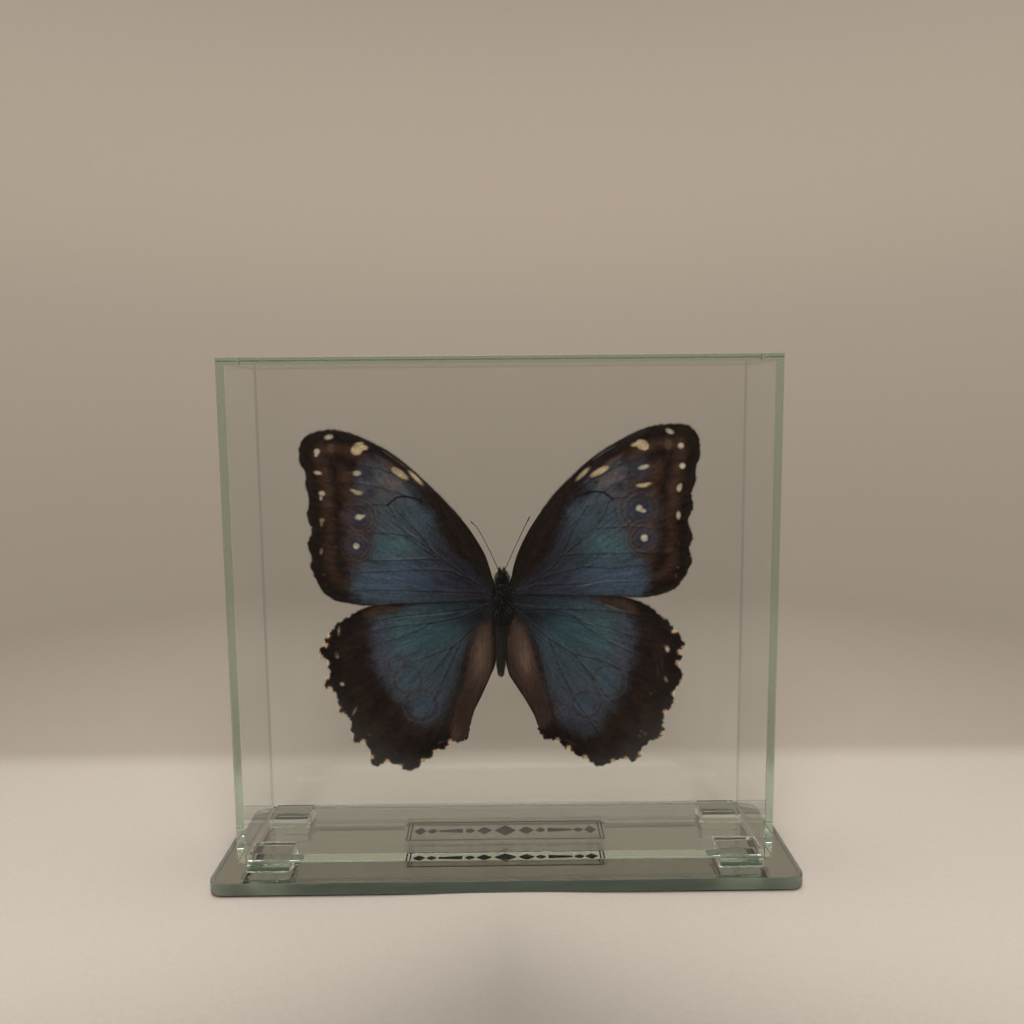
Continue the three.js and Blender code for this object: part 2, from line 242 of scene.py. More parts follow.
class Look:
    """A node material, built up from its Principled shader."""

    def __init__(self, name, **settings):
        self.material = bpy.data.materials.new(name)
        self.material.use_nodes = True
        self.tree = self.material.node_tree
        self.shader = self.tree.nodes["Principled BSDF"]
        for key, value in settings.items():
            self.shader.inputs[key.replace("_", " ")].default_value = value

    def node(self, kind, inputs=(), **settings):
        made = self.tree.nodes.new("ShaderNode" + kind)
        for key, value in settings.items():
            setattr(made, key, value)
        for key, value in dict(inputs).items():
            if isinstance(value, bpy.types.NodeSocket):
                self.tree.links.new(value, made.inputs[key])
            else:
                made.inputs[key].default_value = value
        return made

    def plug(self, socket, name):
        self.tree.links.new(socket, self.shader.inputs[name])

    def noise(self, size, detail=3.0, stretch=(1, 1, 1)):
        """Noise with features of about size millimetres."""
        place = self.node("TexCoord").outputs["Object"]
        if stretch != (1, 1, 1):
            place = self.node("Mapping", {"Vector": place, "Scale": stretch}).outputs["Vector"]
        noise = self.node("TexNoise", {"Vector": place, "Scale": 1 / (size * MM), "Detail": detail})
        return noise.outputs["Fac"]

    def spread(self, fac, low, high):
        """A number from low to high as fac goes from 0.3 to 0.7."""
        return self.node("MapRange", {"Value": fac, "From Min": 0.3, "From Max": 0.7,
                                      "To Min": low, "To Max": high}).outputs["Result"]

    def blend(self, fac, a, b):
        """A colour from a to b."""
        mix = self.node("Mix", data_type="RGBA")
        for socket, value in zip([mix.inputs[0], mix.inputs[6], mix.inputs[7]], [fac, a, b]):
            if isinstance(value, bpy.types.NodeSocket):
                self.tree.links.new(value, socket)
            else:
                socket.default_value = value if isinstance(value, float) else (*value, 1.0)[:4]
        return mix.outputs[2]

    def scaled(self, colour, number):
        """A colour times a number."""
        mix = self.node("VectorMath", {0: colour, "Scale": number}, operation="SCALE")
        return mix.outputs["Vector"]

    def bump(self, height, depth, strength=0.5):
        made = self.node("Bump", {"Height": height, "Distance": depth * MM, "Strength": strength})
        self.plug(made.outputs["Normal"], "Normal")

    def absorb(self, colour, density):
        """Colour that light takes on with its way through the body."""
        volume = self.node("VolumeAbsorption", {"Color": (*colour, 1.0), "Density": density})
        self.tree.links.new(volume.outputs["Volume"], self.tree.nodes["Material Output"].inputs["Volume"])

    def open_where_bonded(self):
        """Faces that are bonded to other glass let light straight through."""
        bonded = self.node("Attribute", attribute_name="bonded").outputs["Fac"]
        self.plug(self.node("Math", {0: 1.0, 1: bonded}, operation="SUBTRACT").outputs[0], "Alpha")

    def tinted(self, variation, grain):
        """Colour from the mesh's tint, varied by a fine grain."""
        tint = self.node("Attribute", attribute_name="tint").outputs["Color"]
        self.plug(self.scaled(tint, self.spread(grain, 1 - variation, 1 + variation)), "Base Color")


GLASS_TINT, GLASS_DENSITY = (0.16, 0.54, 0.25), 13.0
CLEAR_TINT, CLEAR_DENSITY = (0.45, 0.75, 0.55), 5.0


def glass_look(name, roughness, tint=GLASS_TINT, density=GLASS_DENSITY):
    """Float glass. Bonded faces let light straight through and ground edges scatter it."""
    look = Look(name, Transmission_Weight=1.0, IOR=1.52)
    smudge = look.noise(22.0, 4.0)
    ground = look.node("Attribute", attribute_name="ground").outputs["Fac"]
    worn = look.node("Math", {0: ground, 1: 0.45}, operation="MULTIPLY").outputs[0]
    look.plug(look.node("Math", {0: look.spread(smudge, roughness * 0.2, roughness), 1: worn},
                        operation="ADD").outputs[0], "Roughness")
    look.plug(look.blend(smudge, (0.985, 0.995, 0.99), (1.0, 1.0, 1.0)), "Base Color")
    look.open_where_bonded()
    look.absorb(tint, density)
    return look.material


def silver_look():
    """The silvering under the plate, seen through its glass."""
    look = Look("silvering", Metallic=1.0)
    haze = look.noise(14.0, 5.0)
    look.plug(look.spread(haze, 0.01, 0.035), "Roughness")
    look.plug(look.blend(haze, (0.45, 0.44, 0.43), (0.51, 0.50, 0.49)), "Base Color")
    return look.material


def paint_look():
    """The coat of paint that covers the silvering."""
    look = Look("backing_paint", Roughness=0.6)
    grain = look.noise(0.8, 6.0)
    look.plug(look.blend(grain, (0.03, 0.03, 0.028), (0.055, 0.052, 0.048)), "Base Color")
    look.bump(grain, 0.05)
    return look.material


def glue_look():
    """Clear glue with a faint haze."""
    look = Look("clear_glue_look", Transmission_Weight=0.95, IOR=1.49)
    grain = look.noise(1.1, 4.0)
    look.plug(look.spread(grain, 0.05, 0.3), "Roughness")
    look.plug(look.blend(grain, (0.62, 0.70, 0.62), (0.80, 0.86, 0.80)), "Base Color")
    look.bump(grain, 0.12, 0.6)
    return look.material


def film_look():
    """Clear film, which light passes straight through where it is bonded."""
    look = Look("clear_film", Transmission_Weight=0.92, IOR=1.45)
    grain = look.noise(3.0, 3.0)
    look.plug(look.spread(grain, 0.005, 0.02), "Roughness")
    look.plug(look.blend(grain, (0.76, 0.80, 0.75), (0.84, 0.87, 0.82)), "Base Color")
    look.open_where_bonded()
    return look.material


def ink_look(name, colour):
    """Printed ink of one colour."""
    look = Look(name, Roughness=0.7, Specular_IOR_Level=0.05)
    grain = look.noise(0.5, 4.0)
    look.plug(look.blend(grain, tuple(colour), tuple(np.asarray(colour) * 1.8 + 0.001)), "Base Color")
    look.bump(grain, 0.01)
    return look.material


def wing_look(name, roughness):
    """Scales: fine rows of overlapping tiles in the wing's own colours."""
    look = Look(name, Roughness=roughness, Specular_IOR_Level=0.12)
    scales = look.noise(0.16, 2.0, (1.0, 1.0, 0.6))
    look.tinted(0.28, scales)
    look.bump(scales, 0.03, 0.4)
    return look.material


def hair_look(name, roughness, sheen):
    """Hair, coloured by its tint."""
    look = Look(name, Roughness=roughness, Specular_IOR_Level=0.15, Sheen_Weight=sheen, Sheen_Roughness=0.5)
    look.tinted(0.25, look.noise(0.5, 3.0))
    return look.material


def horn_look():
    """The hard, dark skin of legs, antennae and proboscis."""
    look = Look("horn_look", Roughness=0.38)
    grain = look.noise(0.35, 4.0)
    look.tinted(0.35, grain)
    look.bump(grain, 0.02, 0.4)
    return look.material


def eye_look():
    """The dark, shiny eyes."""
    look = Look("eye_look", Roughness=0.2, Coat_Weight=0.4, Coat_Roughness=0.15)
    place = look.node("TexCoord").outputs["Object"]
    facets = look.node("TexVoronoi", {"Vector": place, "Scale": 1 / (0.09 * MM)}).outputs["Distance"]
    look.plug(look.blend(look.noise(0.7), (0.012, 0.008, 0.006), (0.045, 0.028, 0.018)), "Base Color")
    look.bump(facets, 0.02, 0.6)
    return look.material


GLASS = glass_look("case_glass_look", 0.012)
BLOCK_GLASS = glass_look("block_glass_look", 0.03, CLEAR_TINT, CLEAR_DENSITY)
PLATE_GLASS = glass_look("plate_glass_look", 0.006, (0.14, 0.80, 0.22), 14.0)
SILVER, PAINT, GLUE, FILM = silver_look(), paint_look(), glue_look(), film_look()
INK_DARK = ink_look("ink_dark", (0.002, 0.002, 0.0025))
INK_VIOLET = ink_look("ink_violet", (0.012, 0.008, 0.05))
FOREWING, HINDWING = wing_look("forewing_scales", 0.5), wing_look("hindwing_scales", 0.5)
DARK_FUR, GREY_FUR = hair_look("dark_fur", 0.7, 0.01), hair_look("grey_fur", 0.6, 0.02)
HORN, EYE = horn_look(), eye_look()


# ---------------------------------------------------------------- case, plate and blocks

BLOCKS = ["block_front_left", "block_front_right", "block_back_left", "block_back_right"]


def cap(loop, z, patches, upward):
    """A flat cap over a loop, cut round the patches: new points, faces and the patch of each."""
    coords, rings = [Vector(p) for p in loop], [list(range(len(loop)))]
    for (x0, y0), (x1, y1), _ in patches:
        rings.append(list(range(len(coords), len(coords) + 4)))
        coords += [Vector(p) for p in ((x0, y0), (x1, y0), (x1, y1), (x0, y1))]
    points, _, faces, _, _, owners = delaunay_2d_cdt(coords, [], rings, 0, 1e-6, True)
    kept = [(list(f)[::1 if upward else -1], [patches[o - 1][2] for o in own if o > 0])
            for f, own in zip(faces, owners) if own]
    return [(p.x, p.y, z) for p in points], [f for f, _ in kept], [k for _, k in kept]


def levelness(corners):
    """How level a face lies, from 0 for an upright one to 1."""
    side = corners - corners[0]
    across = np.cross(side[1], side[2])
    return abs(across[2]) / max(np.linalg.norm(across), 1e-12)


def slab(loops, patches_below=(), patches_above=(), side_grinding=0.0):
    """A closed slab through stacked loops, with marked patches in its flat ends and ground edges."""
    n = len(loops[0])
    points, faces = stacked_loops(loops)
    faces, kinds = faces[1:-1], [[]] * (len(faces) - 2)
    for loop, start, patches, upward in ((loops[0], 0, patches_below, False),
                                         (loops[-1], (len(loops) - 1) * n, patches_above, True)):
        more, more_faces, marks = cap(loop[:, :2], loop[0, 2], patches, upward)
        base = len(points)
        points = np.vstack([points, more])
        faces += [[start + i if i < n else base + i for i in f] for f in more_faces]
        kinds += marks
    bonded = ["bonded" in k for k in kinds]
    level = np.array([levelness(points[f]) for f in faces])
    ground = np.where(level < 0.001, side_grinding, level < 0.999)
    ground = np.where(["ground" in k for k in kinds], 1.0, ground) * np.where(bonded, 0, 1)
    return points, faces, {"bonded": bonded, "ground": ground}


def footprints(names=BLOCKS, inset=0.06):
    """Where other pieces are bonded on."""
    boxes = [[np.array(v)[:2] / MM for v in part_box(name)] for name in names]
    return [(low + inset, high - inset, "bonded") for low, high in boxes]


def case():
    """The six panes as one shell, because the bonded joints hold no air. Gives its underside's height."""
    low, high = (np.array(v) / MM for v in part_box("pane_front"))
    back = np.array(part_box("pane_back")[1]) / MM
    pane, high = high[1] - low[1], np.array([high[0], back[1], high[2]])
    half, middle, arris, corner = (high - low)[:2] / 2, ((high + low) / 2)[:2], 0.2, 0.3
    loops = [at_height(rounded_rectangle(half[0] - d, half[1] - d, corner - d, 3), z, middle)
             for z, d in ((low[2], arris), (low[2] + arris, 0), (high[2] - arris, 0), (high[2], arris))]
    edge = (middle + [-half[0] + 0.4, half[1] - pane], middle + half - 0.3, "ground")
    outer, outer_faces, marks = slab(loops, patches_below=footprints(BLOCKS + ["label_film"]) + [edge])
    inside = np.array(strip(*(low + pane)[:2], *(high - pane)[:2]))
    inner, inner_faces = stacked_loops([at_height(inside, low[2] + pane), at_height(inside, high[2] - pane)])
    points, faces, _ = joined([(outer, outer_faces, 0), (inner, [f[::-1] for f in inner_faces], 0)])
    names = ["pane_" + n for n in ("front", "back", "top", "left", "right", "bottom")]
    marks = {key: list(values) + [0] * len(inner_faces) for key, values in marks.items()}
    piece("glass_case", points, faces, [GLASS], "clear_glass", names, marks=marks, smooth=False)
    return low[2]


def plate():
    """A glass slab with a silvered underside over a coat of paint."""
    half = (PLATE_HIGH - PLATE_LOW)[:2] / 2
    radius, arris, paint = 4.0, 0.1, 0.12
    thick = PLATE_HIGH[2] - BASE - paint
    levels = [(0.0, arris), (arris, 0.0), (thick - arris, 0.0), (thick, arris)]
    loops = [at_height(rounded_rectangle(half[0] - d, half[1] - d, radius - d), BASE + paint + z)
             for z, d in levels]
    points, faces, marks = slab(loops, patches_above=footprints(), side_grinding=2.0)
    flat = [all(abs(points[i][2] - BASE - paint) < 1e-4 for i in f) for f in faces]
    piece("mirror_glass", points, faces, [PLATE_GLASS, SILVER], "mirror", ["mirror_plate"],
          face_looks=flat, marks=marks, smooth=False)
    inset = 0.9
    loop = rounded_rectangle(half[0] - inset, half[1] - inset, radius - inset)
    points, faces = stacked_loops([at_height(loop, BASE), at_height(loop, BASE + paint - 0.01)])
    piece("mirror_backing", points, faces, [PAINT], "mirror", smooth=False)


def squeezed_glue(outline, centre, flat, direction, seed):
    """A ragged ring of glue pressed out round a block, on the face at height flat."""
    angle = np.arctan2(outline[:, 1], outline[:, 0])
    ring = np.stack([np.cos(angle), np.sin(angle)], 1)
    reach = 0.15 + 1.3 * value_noise(ring * 2.2, 0.6, seed) ** 2
    tall = 0.06 + 0.22 * value_noise(ring * 3.1, 0.5, seed + 4)
    outward = outline / np.linalg.norm(outline, axis=1)[:, None]
    loops = [at_height(outline + outward * (0.03 + reach * t)[:, None], 0, centre)
             + np.outer(flat + direction * (0.01 + tall * h), [0, 0, 1])
             for t, h in [(0.0, 0.0), (0.0, 1.0), (0.1, 0.85), (0.35, 0.4), (0.7, 0.25), (1.0, 0.0)]]
    points, faces = stacked_loops(loops)
    n = len(outline)
    last = (len(loops) - 1) * n
    closing = [[last + i, last + (i + 1) % n, (i + 1) % n, i] for i in range(n)]
    faces = faces[1:-1] + closing
    return points, faces if direction > 0 else [f[::-1] for f in faces], 0


def blocks(bottom):
    """Four clear blocks under the case, with rings of glue at their ends. bottom is the case's underside."""
    for k, name in enumerate(BLOCKS):
        low, high = (np.array(v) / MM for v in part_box(name))
        low[2], high[2] = PLATE_HIGH[2] + 0.01, bottom - 0.01
        points, faces = bevelled_box(low, high, 0.1)
        points[:, :2] += 0.06 * (value_noise(points, 1.7, k)[:, None] - 0.5)
        joints = [all(abs(points[i][2] - z) < 1e-3 for i in f) for f in faces for z in (low[2], high[2])]
        joints = [int(a or b) for a, b in zip(joints[::2], joints[1::2])]
        piece(name.replace("block", "foot"), points, faces, [BLOCK_GLASS], "clear_glass", [name],
              marks={"bonded": joints}, smooth=False)
        size, centre = (high - low)[:2] / 2, ((high + low) / 2)[:2]
        outline = rounded_rectangle(size[0], size[1], 0.4, 6)
        dense = np.concatenate([np.linspace(a, b, 9, endpoint=False) for a, b in
                                zip(outline, np.roll(outline, -1, 0)) if np.linalg.norm(b - a) > 0.001])
        rings = [squeezed_glue(dense, centre, PLATE_HIGH[2] + 0.01, 1, k + 0.3),
                 squeezed_glue(dense, centre, bottom - 0.01, -1, k + 0.7)]
        points, faces, _ = joined(rings)
        piece(name.replace("block", "bond"), points, faces, [GLUE], "clear_glue")


LABEL_BOX = (29.0, 5.5)
LABEL_SHIFT = -1.4
LABEL_LINE, LINE_GAP = 0.38, 1.2
MIDDLE_LOZENGE = (3.2, 3.3)
SIDE_LOZENGES = [(6.2, 2.3, 2.4), (10.4, 1.5, 1.6), (21.6, 1.5, 1.6), (25.2, 1.8, 2.3)]
TAPER = (12.6, 19.6, 1.3, 0.5)


def lozenge(x, half_x, half_y):
    """A lozenge of the label's ornament, on its middle line."""
    return [(x - half_x, 0), (x, -half_y), (x + half_x, 0), (x, half_y)]


def rim_edges(faces):
    """Directed edges that only one face uses."""
    seen = set()
    for f in faces:
        for i, j in zip(f, list(f[1:]) + [f[0]]):
            seen.add((i, j))
    return [e for e in seen if (e[1], e[0]) not in seen]


def label():
    """Clear film with a ruled border and a plain divider ornament printed on it."""
    low, high = (np.array(v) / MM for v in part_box("label_film"))
    centre, half = ((low + high) / 2)[:2], ((high - low) / 2)[:2]
    a, b = LABEL_BOX
    line = LABEL_LINE
    inks = [(1, strip(-a, s * b - line / 2, a, s * b + line / 2)) for s in (-1, 1)]
    inks += [(2, strip(s * x - line / 2, -b + line, s * x + line / 2, b - line))
             for s in (-1, 1) for x in (a - line / 2, a - LINE_GAP)]
    inks += [(1, lozenge(0, *MIDDLE_LOZENGE))]
    x0, x1, wide, narrow = TAPER
    for s in (-1, 1):
        inks += [(1, lozenge(s * x, half_x, half_y)) for x, half_x, half_y in SIDE_LOZENGES]
        inks += [(1, [(s * x0, -wide), (s * x1, -narrow), (s * x1, narrow), (s * x0, wide)][::s])]
    outline = rounded_rectangle(half[0], half[1], 1.2, 6)
    coords, rings = [Vector(p) for p in outline], [list(range(len(outline)))]
    for _, shape in inks:
        rings.append(list(range(len(coords), len(coords) + len(shape))))
        coords += [Vector((x, y + LABEL_SHIFT)) for x, y in shape]
    points, _, faces, _, _, owners = delaunay_2d_cdt(coords, [], rings, 1, 1e-6, True)
    kinds = [max([0] + [inks[o - 1][0] for o in own if o > 0]) for own in owners]
    flat = np.array([p[:] for p in points])
    n = len(flat)
    top, bottom = at_height(flat, high[2] - 0.01, centre), at_height(flat, low[2] + 0.05, centre)
    rim = rim_edges(faces)
    all_faces = [list(f) for f in faces] + [[i + n for i in f[::-1]] for f in faces]
    all_faces += [[j, i, i + n, j + n] for i, j in rim]
    piece("label_sheet", np.vstack([top, bottom]), all_faces, [FILM, INK_DARK, INK_VIOLET], "label",
          ["label_film"], face_looks=kinds + kinds + [0] * len(rim), smooth=False,
          marks={"bonded": [k == 0 for k in kinds] + [0] * (len(kinds) + len(rim))})


# ---------------------------------------------------------------- wing markings
# Per wing, in millimetres of the butterfly's frame with x outward: the outlines of the blue field, the
# tan fold and the rusty patch, the veins, the dark arc at the cell's end, pale folds, spots
# (x, y, half width, half height, degrees, tone), rings (x, y, radius) and pale notches. The places
# were read off the photo.

FORE_LEFT = {
    "field": [(40.2, 41.9), (41.4, 37.5), (43.1, 33), (39.6, 28.4), (38.2, 23), (38.1, 17.5), (39.8, 13.8),
              (43.3, 11.5), (44.8, 7.8), (45.1, 3.6), (41.8, -0.2), (31.4, -1.3), (3.8, -0.9), (3.8, 2.6),
              (9.2, 8.5), (15.5, 14.7), (19.1, 20.7), (20.3, 26.3), (23.9, 30), (24.7, 33.6), (28.7, 37.3),
              (33.1, 40.5), (36.6, 43.3)],
    "veins": [
        [(4.2, 2.6), (10.6, 7.6), (17.4, 12.6), (22.8, 17.1), (28.1, 20.9), (31.6, 26), (33.3, 29.2)],
        [(17.4, 12.6), (26.5, 13), (35.6, 12.8), (44.6, 12.6), (55.9, 12.1)],
        [(26.8, 19.9), (33.5, 20.9), (39.9, 21.1), (45.3, 21.1), (55.6, 21.8)],
        [(33.3, 29.2), (36.9, 29.5), (44.1, 29.2), (56.8, 28.2)],
        [(26.1, 31.3), (31, 33), (35, 34.3), (40.4, 35.5), (48.4, 36.2), (57, 36.1)],
        [(23.8, 34.1), (28.7, 37.3), (32.7, 38.9), (36.2, 40.1), (40.2, 41), (46.9, 40.9), (58, 41.3)],
        [(22.4, 32.7), (26.9, 37.3), (30.8, 40.3), (34.8, 43.2), (39.2, 46.4), (44.5, 48.7), (51.1, 50.6)],
        [(21.5, 33.6), (25.9, 38.2), (30.4, 41.6), (34.7, 45), (39.1, 48), (43.5, 50.1)],
        [(4.2, 2.8), (7.8, 10.8), (13.6, 19.3), (19, 25.8), (23.4, 30.3)],
        [(4.2, 2.3), (8.4, 2.5), (17.5, 3), (31.2, 3.7), (44.9, 4), (53.9, 4.2)],
        [(9.2, 6.4), (15.6, 9.1), (22, 9.7), (33.8, 9.4), (43.8, 9.2)],
        [(20.1, 14.7), (24.5, 20.8), (28.9, 25.5), (31.1, 28.2)],
        [(19.2, 13.3), (23.7, 16.2), (27.7, 19.5), (30.8, 23.7)],
    ],
    "arc": [(33.3, 29.2), (32.2, 30.4), (30.6, 31.5), (28.3, 31.8), (26.1, 31.3), (23.4, 30.3)],
    "folds": [[(37.4, 13.1), (29.2, 13.1), (21.9, 13.3)],
              [(34.7, 45.4), (30.3, 42.3), (27.5, 40)]],
    "spots": [
        (50, 49.4, 1.21, 0.7, -12, "w"), (53.5, 45.2, 0.84, 0.84, 0, "w"),
        (53.8, 44.1, 0.42, 0.37, 0, "w"), (53.5, 39, 1.02, 0.51, 10, "w"),
        (52.5, 32.9, 0.88, 0.79, 0, "p"), (52.8, 31.6, 0.37, 0.56, 0, "p"),
        (52.7, 25.1, 0.7, 0.56, 0, "y"), (52.9, 23.9, 0.37, 0.65, 0, "y"),
        (53.2, 15.8, 0.42, 0.88, 10, "y"), (52.6, 8.9, 0.51, 0.47, 0, "f"),
        (52.1, 5.8, 0.33, 0.28, 0, "f"), (42, 45.5, 1.58, 1.4, 10, "c"),
        (40.3, 46.3, 1.49, 0.84, 5, "c"), (41.4, 47.3, 1.3, 0.47, -10, "c"),
        (42.1, 38.8, 1.21, 0.7, 0, "w"), (44.1, 38.9, 1.3, 0.42, 5, "r"),
        (41.9, 33, 1.3, 0.65, 5, "c"), (43.3, 33.6, 0.93, 0.42, 20, "c"),
        (41.9, 25.8, 1.12, 0.79, 0, "w"), (40.7, 26.1, 0.65, 0.42, -20, "w"),
        (42.9, 17.2, 0.93, 0.88, 0, "w"), (29.6, 38.5, 2.7, 0.93, 36, "c"),
        (30.9, 39.5, 1.21, 0.74, 30, "c"), (25, 37.2, 2.7, 0.6, 45, "c"),
        (33.1, 41.2, 3.95, 0.93, 36, "k"), (49.4, 46.3, 1.12, 1.3, 20, "f"),
        (49, 17.1, 0.56, 0.47, 0, "f"),
    ],
    "rings": [(41.8, 25.8, 2.6), (42.8, 17.2, 2.3), (39.4, 38.8, 1.8), (38.6, 32.9, 1.2)],
    "notches": [],
}

FORE_RIGHT = {
    "field": [(35.3, 41.7), (37.5, 39.4), (37.5, 36.3), (38.3, 33.1), (38.8, 30.3), (38.4, 26.7),
              (38.2, 22.1), (38.6, 18.4), (40.2, 14.3), (43.2, 11.1), (44.1, 7.3), (43.2, 3.2), (41.4, 1.3),
              (41.4, 0.3), (3.8, 0.3), (4.7, 3.2), (11.7, 8.3), (16.3, 15.7), (18.6, 22.2), (19.9, 27.7),
              (22.2, 30.4), (25.8, 33.1), (24.9, 35.4), (28.5, 37.7), (32.1, 40.4)],
    "veins": [
        [(4, 2.3), (9.3, 5.5), (14.9, 9.7), (18.1, 13.4), (22.2, 16.7), (25.8, 19.9), (28.6, 22.6),
         (30.6, 25.8), (31.9, 29.5), (32.8, 30.5)],
        [(18.5, 13.7), (24, 14), (33.1, 14.2), (44.9, 14.3), (55.4, 14)],
        [(28.1, 21.7), (33.1, 21.9), (39.9, 22.3), (44.4, 21.9), (55.3, 20.7)],
        [(32.8, 30.5), (36.7, 31), (42.1, 31.1), (48.4, 30.5), (56.3, 29.3)],
        [(30.3, 32.4), (33, 34.5), (36.6, 36.3), (39.8, 37.1), (46.5, 37.8), (57.1, 36.6)],
        [(24, 34.1), (27.6, 36.5), (31.2, 38.5), (35.3, 40.8), (38.4, 42), (46.5, 42.3), (57.5, 40.7)],
        [(22.2, 34.1), (25.8, 37.5), (28.5, 40.3), (33, 43.7), (37.5, 46.9), (41.9, 49.1), (48.6, 50.6)],
        [(21.5, 35), (24, 37.7), (27.6, 41.3), (32.1, 44.8), (36.6, 47.8), (41.9, 50.4)],
        [(4, 2.7), (7.5, 11.1), (12.2, 19), (17.2, 25.9), (21.5, 30.7)],
        [(4, 2), (10.3, 4.6), (19.4, 4.9), (30.9, 5.5), (44.1, 5.6), (53.2, 5)],
        [(10.3, 6), (17.2, 8.3), (24.9, 10.2), (33.1, 9.7), (42.2, 10.6)],
        [(18.5, 14.4), (21.3, 21.3), (24, 25.8), (25.8, 28.6)],
    ],
    "arc": [(21.5, 30.7), (24, 31.9), (27.6, 32.7), (30.3, 32.4), (31.9, 31.3), (32.8, 30.5)],
    "folds": [[(22.2, 4.1), (28.6, 5.5), (37.7, 6.1)],
              [(26.7, 41.7), (30.3, 44.2), (34.3, 46.4)]],
    "spots": [
        (49.5, 50.2, 1.21, 0.65, -25, "w"), (52.8, 46, 0.88, 0.84, 0, "w"),
        (53.3, 40.1, 0.84, 0.88, 0, "w"), (52.4, 33.5, 0.7, 1.02, 0, "p"),
        (52.8, 34.4, 0.47, 0.56, 0, "p"), (52.3, 25.6, 0.6, 1.07, 0, "w"),
        (52.5, 17, 0.42, 0.56, 0, "f"), (52.3, 10, 0.56, 0.47, 0, "f"),
        (51.8, 7.4, 0.37, 0.65, 0, "f"), (41.5, 46.4, 1.95, 1.4, -25, "c"),
        (39.5, 46.5, 1.21, 0.56, 15, "c"), (42.2, 45.5, 0.93, 0.65, 0, "c"),
        (42, 39.8, 1.58, 0.65, 15, "w"), (44.9, 39.9, 1.02, 0.33, 0, "r"),
        (41.6, 34.4, 1.67, 0.56, 0, "c"), (43, 34.8, 1.21, 0.42, 8, "c"),
        (40.8, 27.7, 0.93, 0.93, -10, "w"), (41.9, 27, 0.84, 0.56, -10, "w"),
        (42.3, 18.8, 1.02, 1.02, 0, "w"), (29.1, 38.6, 2.79, 0.84, 28, "c"),
        (30.1, 39.2, 1.4, 0.65, 28, "c"), (24.2, 37.9, 2.42, 0.6, 43, "c"),
        (24.9, 38.7, 1.12, 0.42, 43, "c"), (33, 41.7, 3.49, 0.74, 34, "k"),
        (28.1, 35.4, 0.74, 0.47, 20, "d"), (49.1, 46.5, 1.12, 1.58, 0, "f"),
    ],
    "rings": [(41.2, 27.4, 3.3), (42.3, 18.7, 2.7), (40.2, 39.2, 2.2), (35.1, 33.8, 1.2)],
    "notches": [],
}

HIND_LEFT = {
    "field": [(37.9, -3), (39.4, -6.7), (39, -10.5), (39.1, -15.2), (38.3, -20), (36.6, -23.3),
              (34.3, -26.7), (32.6, -29.7), (30.1, -31.6), (28.1, -35.6), (24.8, -38.1), (20.6, -37.2),
              (17.3, -33.4), (14.4, -26.3), (12.9, -19.1), (10.5, -13.5), (7.6, -8.3), (3.8, -2.7),
              (3.8, 2.5), (31.3, 3), (29.4, -0.8), (31.9, -2.6)],
    "tan": [(3.4, -6), (6.7, -7.8), (9.1, -12.1), (10.5, -18.2), (12, -25.4), (14.3, -33), (16, -39.8),
            (16.1, -44.1), (10.9, -43.8), (9.4, -37.5), (7, -30.3), (2.7, -20.8), (3, -11.2)],
    "rust": [(41.6, -3.3), (37.8, -0.8), (34.2, 0), (29.4, -0.5), (29.2, -1.5), (31.9, -2.8), (36.1, -3.5),
             (39.8, -5.3)],
    "veins": [
        [(4.3, -1.8), (10.8, -2.5), (17.7, -3.4), (24.6, -4.1), (31.5, -4.5), (38, -5.8), (44.4, -7.8),
         (50.4, -9.3)],
        [(6.6, -2.6), (13.1, -5.3), (21.5, -6.7), (30.7, -7.4), (36.2, -8.2), (45.5, -11.7), (53.3, -15.3)],
        [(21.5, -6.7), (24.2, -8.4), (30.8, -11.1), (36.3, -12.2), (45.6, -16), (52.3, -19.6)],
        [(8.5, -8.3), (12.3, -12), (15.1, -14.3), (19.8, -16), (23.5, -17.4), (32.4, -20.6), (42.2, -26.5),
         (50.2, -31.1)],
        [(15.1, -14.3), (19.9, -20.4), (27.5, -29.8), (36, -38.2), (41.7, -43.2)],
        [(12.3, -12), (16.1, -20.5), (21.5, -31.9), (27.8, -43.3), (32.6, -50)],
        [(10, -12.5), (12, -19.6), (14.4, -29.2), (18.3, -39.7), (19.8, -45.5)],
    ],
    "arc": [],
    "folds": [[(14, -3.4), (20.9, -4.1), (28.8, -4.6), (34.3, -5.4)]],
    "spots": [
        (48.9, -8.5, 0.33, 1.16, 5, "h"), (49.6, -16.4, 0.47, 0.56, 20, "h"),
        (49.8, -15.7, 0.65, 0.93, 0, "r"), (48.4, -24.9, 0.6, 0.47, 30, "w"),
        (44.9, -33.3, 0.28, 1.12, 28, "h"), (40.7, -40.9, 0.6, 0.28, 20, "f"),
        (13.9, -41.5, 1.4, 0.19, 0, "k"), (18.9, -43.8, 0.93, 0.28, -15, "f"),
        (32.5, -47.1, 0.56, 0.37, 0, "f"),
    ],
    "rings": [(28.7, -24, 3.3), (24.7, -32, 3.7), (31.9, -19.2, 1.9)],
    "notches": [(52.2, -9.9), (53, -12.7), (54.4, -16.5), (52.7, -18.2), (52.9, -22.5), (52.2, -26.3),
                (49.7, -32.1), (48.6, -34.3), (46.1, -40.9), (42.6, -43.1), (40.3, -47.8), (35.4, -49.5),
                (31.7, -51), (24.6, -49.7), (20.8, -46.9), (17, -45.8), (16.1, -43.9)],
}

